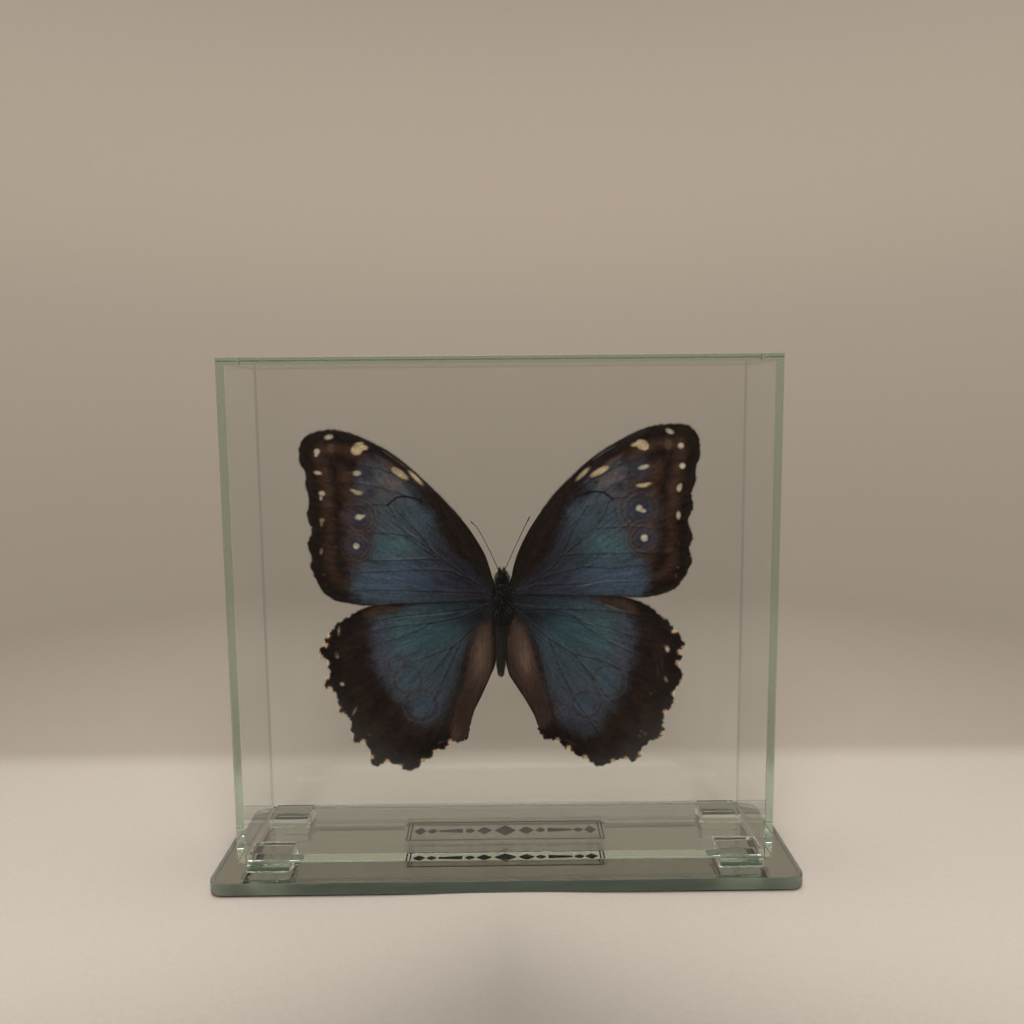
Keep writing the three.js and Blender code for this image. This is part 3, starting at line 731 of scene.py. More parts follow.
HIND_RIGHT = {
    "field": [(3.3, -2.3), (7.9, -7), (10.2, -13.2), (12, -19.9), (13.4, -27.6), (15.7, -32.4), (18, -37.7),
              (24.1, -41.5), (28.8, -41), (31.6, -35.2), (35.7, -29.9), (37.1, -24.6), (38.5, -20.8),
              (39.4, -17), (40, -12.2), (39.1, -6.6), (37, -4.2), (31.5, -1.4), (26.4, 1.9), (3.8, 2.4)],
    "tan": [(3.3, -5.1), (6.5, -8), (8.8, -12.7), (10.6, -19.4), (12.4, -26.6), (13.8, -32.4), (14.7, -37.2),
            (12.9, -40.1), (10.5, -40.2), (8.7, -34.3), (5.4, -28.1), (1.3, -20.9), (1.4, -11.3)],
    "rust": [(25.9, 1), (29.6, 1.9), (36, 0.9), (39.7, -1.4), (40.6, -4.2), (37.9, -4.2), (36, -2.8),
             (31.5, -1.4)],
    "veins": [
        [(4.2, -1.8), (13.9, -2.8), (22.2, -3), (29.6, -3.3), (37.9, -4.2), (45.3, -6.6), (50.8, -9.9)],
        [(5.2, -2.8), (13.9, -3), (18.6, -3.7), (24.1, -6.1), (28.7, -7.9), (32.4, -8.9), (39.3, -11.3),
         (53.6, -14.1)],
        [(21.3, -4.9), (25.9, -8.9), (32.4, -12.7), (39.4, -16.5), (47.2, -19.8), (53.7, -23.6)],
        [(5.6, -4.7), (7.9, -6.8), (13.9, -11.8), (21.3, -16.5), (25.9, -17.7), (30.6, -18.9), (40.3, -23.7),
         (51.5, -30.3)],
        [(21.3, -16.5), (26.4, -22.7), (31.5, -29.9), (39, -36.2), (47.9, -40)],
        [(13.9, -11.8), (17.1, -20.8), (22.2, -31.4), (28.8, -41), (34.9, -49.8)],
        [(7.4, -7.5), (10.2, -13.7), (12.2, -21.8), (14.3, -31.4), (16.6, -39.2), (20.3, -46)],
    ],
    "arc": [],
    "folds": [[(22.2, -5.2), (28.7, -8.2), (33.3, -9.5)], [(27.8, -10.4), (32.9, -12.7), (38, -15.3)],
              [(28.7, -0.5), (34.2, -2.8), (37.9, -4)]],
    "spots": [
        (49.6, -15.1, 0.6, 0.93, 20, "w"), (49.2, -14.1, 0.84, 0.47, 0, "r"),
        (49.3, -24.5, 0.42, 0.84, 25, "h"), (44.8, -29, 0.56, 0.47, 0, "f"),
        (48.1, -19.8, 0.47, 1.67, 0, "g"), (42.1, -40.7, 0.47, 0.42, 0, "f"),
        (43.2, -41.5, 0.56, 0.47, 0, "f"), (41.6, -42.2, 0.47, 0.37, 0, "f"),
        (20.8, -44.5, 1.67, 0.23, -30, "f"), (46.8, -21.7, 0.37, 1.86, 5, "g"),
    ],
    "rings": [(31.9, -25.1, 3.7), (25.5, -32.3, 3.3), (18.3, -34.5, 1.7)],
    "notches": [(51.6, -9.5), (54.5, -14.6), (53.4, -16), (52.8, -19.3), (54.3, -25.1), (51.8, -28.9),
                (49.2, -34.6), (48.5, -41.4), (47.7, -43), (41.9, -47.8), (41.2, -49.7), (37.5, -49.4),
                (33.5, -50.2), (25, -49), (19.9, -46.1), (16.6, -43.8), (11.4, -42.6)],
}

# Colours as they show
TONES = {
    "w": (157, 148, 125), "h": (112, 97, 76), "p": (147, 133, 112), "y": (128, 116, 84),
    "c": (154, 138, 104), "f": (80, 66, 54), "r": (84, 56, 50), "k": (83, 64, 56),
    "d": (26, 24, 26), "g": (62, 60, 44),
}
TONE_SHARE = {"f": 0.5, "r": 0.5, "k": 0.5, "d": 0.7, "g": 0.3, "y": 0.85}
FORE_BROWN, FORE_BLUE = (36, 25, 18), (55, 66, 71)
HIND_BROWN, HIND_BLUE = (30, 22, 18), (56, 65, 68)
FIELD_EDGE = {True: (-2.6, 4.0), False: (-3.2, 5.0)}
# The rings round an eyespot: (radius over the spot's own, colour)
FORE_RINGS = [(0.95, (66, 62, 64)), (1.2, (38, 37, 41)), (1.45, (80, 72, 68)), (1.7, (38, 35, 35)),
              (1.95, (74, 66, 61)), (2.2, (44, 38, 36))]
HIND_RINGS = [(0.95, (70, 66, 70)), (1.25, (44, 42, 44)), (1.5, (66, 60, 62))]
UNDER_RINGS = [(1.35, (48, 36, 28)), (1.15, (142, 112, 62)), (0.85, (20, 16, 16)), (0.42, (70, 74, 84)),
               (0.2, (176, 172, 160))]
# Soft areas of a wing: (x, y, half width, half height, colour, share)
FORE_AREAS = [
    (10, 8, 12, 9, (25, 21, 22), 0.9), (3, 5, 19, 12, (29, 24, 26), 0.95),
    (19, 14, 9, 8, (33, 32, 36), 0.7), (27, 26, 6, 6, (52, 61, 66), 0.7),
    (32, 17, 7, 4.5, (57, 79, 79), 0.85), (33, 7, 12, 5, (57, 71, 83), 0.85),
    (20, 3, 9, 4, (43, 47, 57), 0.7), (33, 36, 6, 4, (78, 71, 66), 0.9),
    (36, 31, 5, 3.5, (60, 54, 52), 0.6), (38, 23, 5, 4, (64, 67, 66), 0.7),
    (45, 10, 3, 2.5, (58, 42, 40), 0.5), (46, 36, 3.5, 4, (52, 37, 30), 0.5),
    (23, 33.5, 2.6, 3.4, (26, 20, 20), 0.9),
]
HIND_AREAS = [
    (15, -4, 9, 6, (31, 45, 50), 0.8), (22, -9, 9, 7, (42, 65, 70), 0.9),
    (3, -4, 12, 8, (15, 15, 15), 1.0), (30, -11, 6, 6, (54, 77, 79), 0.85),
    (37, -10, 3.5, 6, (60, 62, 72), 0.7), (36, -19, 3.5, 6, (60, 56, 66), 0.7),
    (28, -23, 7, 6, (54, 67, 70), 0.85), (19, -20, 5, 8, (44, 54, 58), 0.7),
    (23, -32, 7, 5, (52, 55, 66), 0.85), (24, -39, 6, 4, (42, 40, 45), 0.7),
]


def edge_distance(points, outline):
    """Distance to a closed outline, positive inside."""
    a = np.asarray(outline, float)
    b = np.roll(a, -1, 0)
    out = []
    for p in np.array_split(points, max(1, len(points) // 3000)):
        ap, ab = p[:, None] - a, b - a
        t = np.clip((ap * ab).sum(2) / np.maximum((ab * ab).sum(1), 1e-9), 0, 1)
        nearest = np.linalg.norm(ap - t[..., None] * ab, axis=2).min(1)
        above = (a[:, 1] > p[:, 1, None]) != (b[:, 1] > p[:, 1, None])
        rise = np.where(b[:, 1] == a[:, 1], 1e-9, b[:, 1] - a[:, 1])
        crossing = p[:, 0, None] < a[:, 0] + (p[:, 1, None] - a[:, 1]) * (b[:, 0] - a[:, 0]) / rise
        inside = (above & crossing).sum(1) % 2 == 1
        out.append(np.where(inside, nearest, -nearest))
    return np.concatenate(out)


def line_distance(points, line):
    """Distance to an open line and the share of the way along it."""
    a, b = np.asarray(line[:-1], float), np.asarray(line[1:], float)
    ap, ab = points[:, None] - a, b - a
    t = np.clip((ap * ab).sum(2) / (ab * ab).sum(1), 0, 1)
    far = np.linalg.norm(ap - t[..., None] * ab, axis=2)
    k = far.argmin(1)
    rows = np.arange(len(points))
    return far[rows, k], (k + t[rows, k]) / len(a)


def ellipse(points, x, y, half_x, half_y, degrees=0.0):
    """Distance from an ellipse's centre, 1 on its edge."""
    a = math.radians(degrees)
    d = points - [x, y]
    u = d[:, 0] * math.cos(a) + d[:, 1] * math.sin(a)
    v = -d[:, 0] * math.sin(a) + d[:, 1] * math.cos(a)
    return np.hypot(u / half_x, v / half_y)


def lay(colours, colour, share):
    """Lays a colour over the others, with a share for each point."""
    share = np.clip(share, 0, 1)[:, None]
    return colours * (1 - share) + linear(colour) * share


def stripe(distance, centre, width):
    """A soft line, 1 at its centre."""
    return np.exp(-((distance - centre) / width) ** 2)


def brown_ground(points, away, rough, fore):
    """The brown of a wing's upper side, with darker and lighter bands along its margin."""
    x = points[:, 0]
    colours = np.tile(linear(FORE_BROWN if fore else HIND_BROWN), (len(points), 1))
    if fore:
        colours = lay(colours, (25, 19, 17), 0.75 * ramp(36, 16, x))
    colours = lay(colours, (28, 23, 18) if fore else (20, 16, 13), 0.7 * ramp(5.0, 1.0, away + 1.5 * rough))
    patches = ramp(0.45, 0.62, value_noise(points, 3.1, 3)) * ramp(3, 6, away)
    colours = lay(colours, (50, 37, 29), (0.5 * ramp(30, 38, x) if fore else 0.25) * patches)
    if fore:
        dark = stripe(away + rough, 8.2, 1.6) + 0.8 * stripe(away, 2.2, 1.1)
        colours = lay(colours, (21, 15, 12), 0.7 * dark * ramp(34, 40, x))
        light = stripe(away + rough, 5.4, 1.3) + 0.7 * stripe(away + rough, 11.5, 1.4)
        colours = lay(colours, (62, 47, 35), 0.45 * light * ramp(36, 42, x))
    return colours


def blue_field(colours, points, field, fore):
    """The blue field, given the distance from its edge, and its softer areas."""
    colours = lay(colours, FORE_BLUE if fore else HIND_BLUE, ramp(*FIELD_EDGE[fore], field))
    for x, y, half_x, half_y, colour, share in FORE_AREAS if fore else HIND_AREAS:
        soft = np.exp(-1.2 * ellipse(points, x, y, half_x, half_y) ** 2)
        colours = lay(colours, colour, share * soft * ramp(-2.0, 2.0, field))
    return colours


def inner_fold(colours, points, marks, rough):
    """The tan fold along a hindwing's inner edge and the rusty patch at its front."""
    fold = edge_distance(points, marks["tan"])
    streak = value_noise(points * [3.0, 0.35], 1.0, 5)
    colours = lay(colours, (58, 45, 37), ramp(-0.8, 1.2, fold + rough))
    light = np.exp(-1.3 * ellipse(points, 6.6, -17, 2.6, 7.5, 8) ** 2) * ramp(-0.4, 1.0, fold)
    colours = lay(colours, (92, 74, 60), light * (0.5 + 0.8 * streak))
    rust = edge_distance(points, marks["rust"]) + 1.2 * rough
    return lay(colours, (62, 46, 35), (0.55 + 0.35 * streak) * ramp(-1.2, 1.0, rust))


def veins(colours, points, marks, field):
    """Dark veins with a painted pale sheen beside them, pale folds between them and the dark cell's end."""
    for line in marks["veins"]:
        far, way = line_distance(points, line)
        width = 0.2 - 0.07 * way
        colours = lay(colours, (24, 20, 20), 0.5 * ramp(width + 0.14, width * 0.4, far))
        # painted sheen: a faint pale line beside each vein, within the blue field
        colours = lay(colours, (84, 84, 84), 0.10 * stripe(far, 0.62, 0.22) * ramp(-1, 1, field))
        feather = ramp(0.5, 0.75, value_noise(points, 0.8, 31)) * ramp(1.3, 0.2, far)
        colours = lay(colours, (27, 32, 36), 0.3 * feather)
    for line in marks["folds"]:
        far, way = line_distance(points, line)
        colours = lay(colours, (128, 124, 120), 0.24 * ramp(0.3, 0.05, far) * np.sin(np.pi * way) ** 0.5)
    if marks["arc"]:
        far, _ = line_distance(points, marks["arc"])
        colours = lay(colours, (20, 18, 18), 0.9 * ramp(0.5, 0.15, far))
    return colours


def eyespot(colours, points, ring, rough, fore):
    """A dark disc with rings round it on a forewing, a blue one on a hindwing."""
    x, y, radius = ring
    d = np.hypot(points[:, 0] - x, points[:, 1] - y) + 0.25 * rough
    if not fore:
        colours = lay(colours, (54, 72, 78), 0.5 * ramp(radius, radius * 0.5, d))
        for r, tone in HIND_RINGS:
            colours = lay(colours, tone, 0.6 * stripe(d, r * radius, 0.25))
        return colours
    colours = lay(colours, (58, 53, 54), 0.5 * ramp(radius * 2.6, radius * 1.1, d))
    colours = lay(colours, (40, 45, 54), 0.8 * ramp(radius * 1.25, radius * 0.65, d))
    d = d + 0.5 * (value_noise(points, 3.0, 13) - 0.5)
    inward = 0.3 + 0.7 * ramp(1.5, -1.5, points[:, 0] - x)
    for r, tone in FORE_RINGS[:6 if radius > 2.2 else 2]:
        colours = lay(colours, tone, 0.34 * inward * stripe(d, r * radius, 0.3))
    return colours


def spots(colours, points, marks, rough, fine):
    """Worn pale spots and the pale notches of the outer margin."""
    for x, y, half_x, half_y, degrees, tone in marks["spots"]:
        d = ellipse(points, x, y, half_x, half_y, degrees)
        edge = 0.28 / min(half_x, half_y)
        worn = 1 - 0.35 * value_noise(points, 0.5, 41) * ramp(0.2, 0.9, d)
        ragged = d + 0.22 * fine + 0.12 * rough
        share = TONE_SHARE.get(tone, 1.0) * worn * ramp(1 + edge, 1 - edge, ragged)
        colours = lay(colours, TONES[tone], share)
    for x, y in marks["notches"]:
        d = np.hypot(points[:, 0] - x, points[:, 1] - y) + 0.5 * fine
        colours = lay(colours, (88, 56, 40), 0.45 * ramp(1.5, 0.8, d))
        colours = lay(colours, (170, 148, 114), 0.95 * ramp(0.9, 0.5, d))
    return colours


def upper_colours(points, marks, outline, fore):
    """Colours of a wing's upper side, still as they show in the light."""
    rough = value_noise(points, 1.6, 1) - 0.5
    fine = value_noise(points, 0.45, 2) - 0.5
    field = edge_distance(points, marks["field"]) + 1.3 * rough + 0.7 * fine
    colours = brown_ground(points, edge_distance(points, outline), rough, fore)
    colours = blue_field(colours, points, field, fore)
    if not fore:
        colours = inner_fold(colours, points, marks, rough)
    colours = veins(colours, points, marks, field)
    for ring in marks["rings"]:
        colours = eyespot(colours, points, ring, rough, fore)
    colours = spots(colours, points, marks, rough, fine)
    polar = np.stack([np.arctan2(points[:, 1] + 1, points[:, 0]), np.hypot(points[:, 0], points[:, 1])], 1)
    streaks = value_noise(polar * [60, 0.25], 1.0, 7) + 0.7 * value_noise(polar * [140, 0.5], 1.0, 8) - 0.85
    return colours * (1 + 0.42 * streaks + 0.4 * fine)[:, None]


def under_colours(points, marks, outline, fore):
    """Colours of the underside: brown, with pale bands and ringed eyespots over the upper ones."""
    rough = value_noise(points, 1.4, 9) - 0.5
    away = edge_distance(points, outline)
    colours = np.tile(linear((74, 57, 42)), (len(points), 1))
    colours = lay(colours, (52, 39, 29), ramp(0.4, 0.7, value_noise(points, 4.0, 11)))
    colours = lay(colours, (108, 92, 68), 0.6 * stripe(away - rough, 2.2, 0.5))
    colours = lay(colours, (44, 32, 24), 0.7 * stripe(away - rough, 4.2, 0.9))
    for line in marks["veins"]:
        far, _ = line_distance(points, line)
        colours = lay(colours, (40, 30, 22), 0.6 * ramp(0.4, 0.12, far))
    band = points[:, 0] - (25 if fore else 22) - 2.5 * rough - 0.25 * points[:, 1]
    band = np.abs(band - 2.2 * np.sin(points[:, 1] / 4.5) - 3.0 * (value_noise(points, 6.0, 15) - 0.5))
    colours = lay(colours, (118, 102, 78), 0.5 * ramp(1.6, 0.6, band))
    for x, y, radius in marks["rings"]:
        d = np.hypot(points[:, 0] - x, points[:, 1] - y)
        for r, tone in UNDER_RINGS:
            colours = lay(colours, tone, ramp(r * radius + 0.12, r * radius - 0.12, d))
    return colours * (1 + 0.5 * rough)[:, None]


# ---------------------------------------------------------------- wings

WING_GAIN = 2.0
VEIL = 0.006
LIGHT_BALANCE = np.array([1.05, 1.0, 1.12])
WING_HALF = 0.07


def outline_of(node, side):
    """The outline of a wing node's front face, in the butterfly's frame."""
    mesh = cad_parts[node].data
    co = np.array([v.co for v in mesh.vertices]) / MM
    own = from_part(co, side, WING_RISE)
    top = own[:, 2].max() - 0.01
    keys = [tuple(np.round(p[:2], 3)) for p in own]
    mesh.calc_loop_triangles()
    count, link = {}, {}
    for t in mesh.loop_triangles:
        if all(own[i, 2] > top for i in t.vertices):
            ring = [keys[i] for i in t.vertices]
            for a, b in zip(ring, ring[1:] + ring[:1]):
                count[frozenset((a, b))] = count.get(frozenset((a, b)), 0) + 1
    for pair, n in count.items():
        if n == 1 and len(pair) == 2:
            a, b = pair
            link.setdefault(a, []).append(b)
            link.setdefault(b, []).append(a)
    start = next(iter(link))
    loop, here, before = [start], link[start][0], start
    while here != start:
        loop.append(here)
        here, before = next(k for k in link[here] if k != before), here
    loop = drawn_in(np.array(loop), "hind" in node)
    area = (loop[:, 0] * np.roll(loop[:, 1], -1) - np.roll(loop[:, 0], -1) * loop[:, 1]).sum()
    return loop if area > 0 else loop[::-1]


def drawn_in(loop, hind):
    """The outline with its root drawn under the body's hairs."""
    x, y = loop.T
    root = ramp(-10, -5, y) if hind else ramp(8, 4, y)
    x = x - 1.6 * ramp(6.0, 3.4, x) * root
    if hind:
        y = y + 2.6 * ramp(9.0, 3.0, x) * (y > -3)
        x = x - 0.8 * ramp(6.0, 3.0, x) * ramp(-24, -18, y) * ramp(-5, -9, y)
    return np.stack([x, y], 1)


def resampled(loop, spacing):
    """The closed loop with its corners eased and points at an even spacing."""
    for _ in range(2):
        after = np.roll(loop, -1, 0)
        loop = np.stack([0.8 * loop + 0.2 * after, 0.2 * loop + 0.8 * after], 1).reshape(-1, 2)
    closed = np.vstack([loop, loop[:1]])
    way = np.concatenate([[0], np.cumsum(np.linalg.norm(np.diff(closed, axis=0), axis=1))])
    at = np.linspace(0, way[-1], int(way[-1] / spacing), endpoint=False)
    return np.stack([np.interp(at, way, closed[:, i]) for i in (0, 1)], 1)


def toothed(loop, depth):
    """The loop with the small uneven teeth of a wing's outer margin."""
    ahead = np.roll(loop, -1, 0) - np.roll(loop, 1, 0)
    normal = np.stack([ahead[:, 1], -ahead[:, 0]], 1) / np.linalg.norm(ahead, axis=1)[:, None]
    teeth = value_noise(loop, 0.75, 21) + 0.6 * value_noise(loop, 0.35, 22) - 0.8
    outer = np.maximum(ramp(38, 48, loop[:, 0]), ramp(-34, -42, loop[:, 1]))
    return loop + normal * (depth * teeth * outer)[:, None]


def filled(loop, spacing):
    """A fine triangle net inside the loop, whose points come first."""
    low, high = loop.min(0), loop.max(0)
    rows = np.arange(low[1], high[1], spacing * 0.866)
    grid = [np.stack([np.arange(low[0], high[0], spacing) + (k % 2) * spacing / 2,
                      np.full(len(np.arange(low[0], high[0], spacing)), y)], 1) for k, y in enumerate(rows)]
    grid = np.concatenate(grid)
    grid = grid[edge_distance(grid, loop) > spacing * 0.6]
    everything = np.vstack([loop, grid])
    points, _, faces, _, _, owners = delaunay_2d_cdt([Vector(p) for p in everything], [],
                                                     [list(range(len(loop)))], 0, 1e-7, True)
    return np.array([p[:] for p in points]), [list(f) for f, own in zip(faces, owners) if own]


def strands(base, along, length, width, colour, bend=0.3, steps=3):
    """Thin pointed hairs as flat blades."""
    n = len(base)
    along = along / np.linalg.norm(along, axis=1)[:, None]
    side = np.cross(along, RANDOM.normal(size=(n, 3)))
    side /= np.linalg.norm(side, axis=1)[:, None]
    curl = RANDOM.normal(size=(n, 3)) * bend
    rows = []
    for k in range(steps):
        t = k / steps
        middle = base + (along * t + curl * t * t) * length[:, None]
        half = side * (width * (1 - 0.6 * t) / 2)[:, None]
        rows += [middle - half, middle + half]
    rows.append(base + (along + curl) * length[:, None])
    points = np.stack(rows, 1).reshape(-1, 3)
    per = 2 * steps + 1
    pattern = []
    for k in range(steps - 1):
        pattern += [[2 * k, 2 * k + 1, 2 * k + 3], [2 * k, 2 * k + 3, 2 * k + 2]]
    pattern.append([2 * steps - 2, 2 * steps - 1, 2 * steps])
    faces = (np.arange(n)[:, None, None] * per + np.array(pattern)).reshape(-1, 3).tolist()
    return points, faces, np.repeat(colour, per, 0)


def wing(node, side, marks, fore, level):
    """A wing as a thin closed sheet with raised veins, both its sides coloured, and its fringe."""
    outline = toothed(resampled(outline_of(node, side), 0.26), 0.4 if fore else 0.8)
    flat, faces = filled(outline, 0.3)
    under, under_faces = filled(outline, 0.55)
    n = len(outline)
    colours = upper_colours(flat, marks, outline, fore)
    low_colours = under_colours(under, marks, outline, fore)

    def height(p):
        """Swells and folds of the membrane, with the veins as ridges."""
        swell = 0.16 * (value_noise(p, 9.0, 4) - 0.5) + 0.07 * (value_noise(p, 2.6, 6) - 0.5)
        ridge = np.zeros(len(p))
        for line in marks["veins"]:
            far, way = line_distance(p, line)
            ridge = np.maximum(ridge, (1 - 0.5 * way) * np.exp(-(far / 0.3) ** 2))
            swell = swell - 0.05 * np.exp(-((far - 1.6) / 0.9) ** 2)
        return swell, 0.09 * ridge

    swell, ridge = height(flat)
    low_swell, low_ridge = height(under)
    top = np.column_stack([flat, level + swell + WING_HALF + ridge])
    bottom = np.column_stack([under, level + low_swell - WING_HALF - low_ridge])
    rim = [[i, i + len(flat), (i + 1) % n + len(flat), (i + 1) % n] for i in range(n)]
    skin = np.vstack([top, bottom])
    skin_faces = faces + [[i + len(flat) for i in f[::-1]] for f in under_faces] + rim
    tint = np.vstack([colours, low_colours])
    parts = [(skin, skin_faces, tint), fringe(outline, marks, level)]
    if not fore:
        parts.append(fold_hair(marks, level))
    points, all_faces, tint = joined(parts)
    if side < 0:
        all_faces = [f[::-1] for f in all_faces]
    piece(node.replace("wing", "wing_scaled"), to_part(points, side, WING_RISE), all_faces,
          [FOREWING if fore else HINDWING], "forewing" if fore else "hindwing", [node],
          tint=np.clip(tint * WING_GAIN * LIGHT_BALANCE - VEIL, 0.0005, 0.9))


def fringe(outline, marks, level):
    """Short scale hairs along the outer edge, pale in the notches."""
    outer = outline[outline[:, 0] > 12]
    picks = outer[RANDOM.integers(0, len(outer), 2600)]
    ahead = np.roll(outline, -1, 0) - np.roll(outline, 1, 0)
    normal = np.stack([ahead[:, 1], -ahead[:, 0]], 1)
    normal = normal[[np.argmin(((outline - p) ** 2).sum(1)) for p in picks]]
    normal = normal / np.linalg.norm(normal, axis=1)[:, None] + 0.35 * RANDOM.normal(size=picks.shape)
    base = np.column_stack([picks, level + RANDOM.uniform(-0.05, 0.05, len(picks))])
    along = np.column_stack([normal, 0.2 * RANDOM.normal(size=len(picks))])
    colour = np.tile(linear((44, 34, 26)), (len(picks), 1))
    if marks["notches"]:
        near = np.min([np.hypot(*(picks - q).T) for q in marks["notches"]], 0)
        colour = lay(colour, (196, 172, 134), ramp(1.3, 0.8, near))
    length = RANDOM.uniform(0.25, 0.6, len(picks))
    return strands(base, along, length, np.full(len(picks), 0.14), colour, 0.2, 1)


def fold_hair(marks, level):
    """Long soft hairs that lie on the inner fold of a hindwing."""
    fold = np.array(marks["tan"])
    picks = RANDOM.uniform(fold.min(0), fold.max(0), (6000, 2))
    picks = picks[edge_distance(picks, fold) > 0.5]
    picks = picks[picks[:, 1] > -38][:1400]
    along = np.column_stack([0.25 + 0.12 * RANDOM.normal(size=len(picks)), -np.ones(len(picks)),
                             0.06 + 0.05 * RANDOM.random(len(picks))])
    light = np.exp(-1.3 * ellipse(picks, 6.6, -17, 3, 8, 8) ** 2)
    colour = lay(np.tile(linear((60, 47, 38)), (len(picks), 1)), (110, 90, 72), light)
    colour = colour * RANDOM.uniform(0.7, 1.25, len(picks))[:, None]
    base = np.column_stack([picks, np.full(len(picks), level + WING_HALF)])
    length = RANDOM.uniform(1.6, 3.4, len(picks))
    return strands(base, along, length, np.full(len(picks), 0.09), colour, 0.05)


# ---------------------------------------------------------------- body

BODY_GAIN = 2.0
ANTENNAE = {"left": [(-1.05, 9.4, -0.4), (-3.6, 15.4, 0.2), (-6.85, 21.7, 0.9), (-9.05, 24.2, 1.2)],
            "right": [(1.05, 9.4, -0.4), (3.5, 15, 0.2), (6.3, 21, 0.8), (8.55, 25.6, 1.3)]}
LEGS = {"middle": [(2.3, -0.6, -4.3), (4.4, 1.4, -3.9), (6, 2, -3.6), (6.6, -2, -4), (6.3, -8, -4.4)],
        "hind": [(2.2, -3.6, -4.3), (4.2, -4.4, -4.6), (3.6, -9.2, -5.2), (2.8, -15.8, -5.4)]}


def skin_of(node, levels=2):
    """A CAD body's skin, smoothed: points in the butterfly's frame, faces and normals."""
    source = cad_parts[node].data
    bm = bmesh.new()
    bm.from_mesh(source)
    bmesh.ops.remove_doubles(bm, verts=bm.verts[:], dist=0.02 * MM)
    bmesh.ops.join_triangles(bm, faces=bm.faces[:], angle_face_threshold=0.6, angle_shape_threshold=0.9)
    mesh = bpy.data.meshes.new("skin")
    bm.to_mesh(mesh)
    bm.free()
    rough = bpy.data.objects.new("skin", mesh)
    bpy.context.scene.collection.objects.link(rough)
    rough.modifiers.new("smooth", "SUBSURF").levels = levels
    done = rough.evaluated_get(bpy.context.evaluated_depsgraph_get()).to_mesh()
    points = from_part(np.array([v.co for v in done.vertices]) / MM)
    normals = np.array([v.normal for v in done.vertices])
    normals = np.stack([normals[:, 0], normals[:, 2], -normals[:, 1]], 1)
    faces = [list(p.vertices) for p in done.polygons]
    bpy.data.objects.remove(rough)
    return points, faces, normals


def fur(points, faces, normals, count, length, width, flow, colours, lift=0.6, bend=0.3, darkness=3):
    """Hairs spread evenly over a skin, leaning along the flow."""
    tris = np.array([[f[0], f[k], f[k + 1]] for f in faces for k in range(1, len(f) - 1)])
    a, b, c = points[tris[:, 0]], points[tris[:, 1]], points[tris[:, 2]]
    area = np.linalg.norm(np.cross(b - a, c - a), axis=1)
    pick = RANDOM.choice(len(tris), count, p=area / area.sum())
    u, v = RANDOM.random((2, count))
    u, v = np.where(u + v > 1, 1 - u, u), np.where(u + v > 1, 1 - v, v)
    base = a[pick] + (b - a)[pick] * u[:, None] + (c - a)[pick] * v[:, None]
    normal = normals[tris[pick, 0]]
    along = normal * lift + np.asarray(flow) + 0.25 * RANDOM.normal(size=(count, 3))
    low, high = (linear(c) for c in colours)
    share = RANDOM.random(count)[:, None] ** darkness
    return strands(base, along, RANDOM.uniform(*length, count), np.full(count, width),
                   low * (1 - share) + high * share, bend)


def thorax():
    """The thorax under its coat of hair."""
    points, faces, normals = skin_of("thorax")
    lumps = value_noise(points, 1.6, 3)
    points = points + normals * (0.4 * lumps - 0.3)[:, None]
    points[:, 1] += 0.7 * ramp(3.0, 4.7, points[:, 1]) - 0.9 * ramp(-5.5, -7.4, points[:, 1])
    coat = fur(points, faces, normals, 11000, (0.5, 1.5), 0.075, (0, -0.55, 0.1),
               [(5, 4, 4), (104, 100, 94)], lift=0.7, bend=0.45, darkness=8)
    p, f, t = joined([(points, faces, linear((6, 5, 5))), coat])
    piece("thorax_fur", to_part(p), f, [DARK_FUR], "dark_hair", ["thorax"], tint=t * BODY_GAIN)


def head():
    """The head with its hair and palps."""
    points, faces, normals = skin_of("head")
    points = points - normals * 0.2
    coat = fur(points, faces, normals, 3600, (0.35, 0.9), 0.07, (0, -0.15, 0.2),
               [(7, 6, 5), (92, 82, 68)], darkness=6)
    palps = []
    for s in (-1, 1):
        path = curve_through([(s * 0.45, 7.9, -1.0), (s * 0.62, 8.9, -0.7), (s * 0.72, 10.1, -0.3)], 9)
        q, g = tube(path, [0.42, 0.44, 0.42, 0.38, 0.33, 0.28, 0.22, 0.14, 0.04], 10)
        outward = q - path.repeat(10, 0)
        outward /= np.maximum(np.linalg.norm(outward, axis=1), 1e-6)[:, None]
        palps += [(q, g, linear((20, 17, 13))),
                  fur(q, g, outward, 420, (0.25, 0.55), 0.06, (0, 1.0, 0.1), [(20, 17, 13), (70, 60, 46)])]
    p, f, t = joined([(points, faces, linear((8, 7, 6))), coat, *palps])
    piece("head_fur", to_part(p), f, [DARK_FUR], "dark_hair", ["head"], tint=t * BODY_GAIN)


def eyes_and_proboscis():
    """Two round eyes and the coiled proboscis."""
    for side, s in (("left", -1), ("right", 1)):
        p, f = ellipsoid(np.array([0.15 + s * 1.62, 6.95, -0.55]), np.array([0.72, 0.98, 0.92]))
        piece("eye_" + side, to_part(p), f, [EYE], "horn")

    turn = np.linspace(0, 4.6 * math.pi, 90)
    radius = 1.05 - 0.052 * turn
    coil = np.stack([0.12 + 0.018 * turn, 7.0 + radius * np.cos(turn), -3.55 + radius * np.sin(turn)], 1)
    p, f = tube(np.vstack([[[0.12, 8.1, -2.4]], coil]), np.linspace(0.16, 0.07, 91), 8)
    piece("proboscis", to_part(p), f, [HORN], "horn", tint=linear((40, 28, 18), BODY_GAIN))


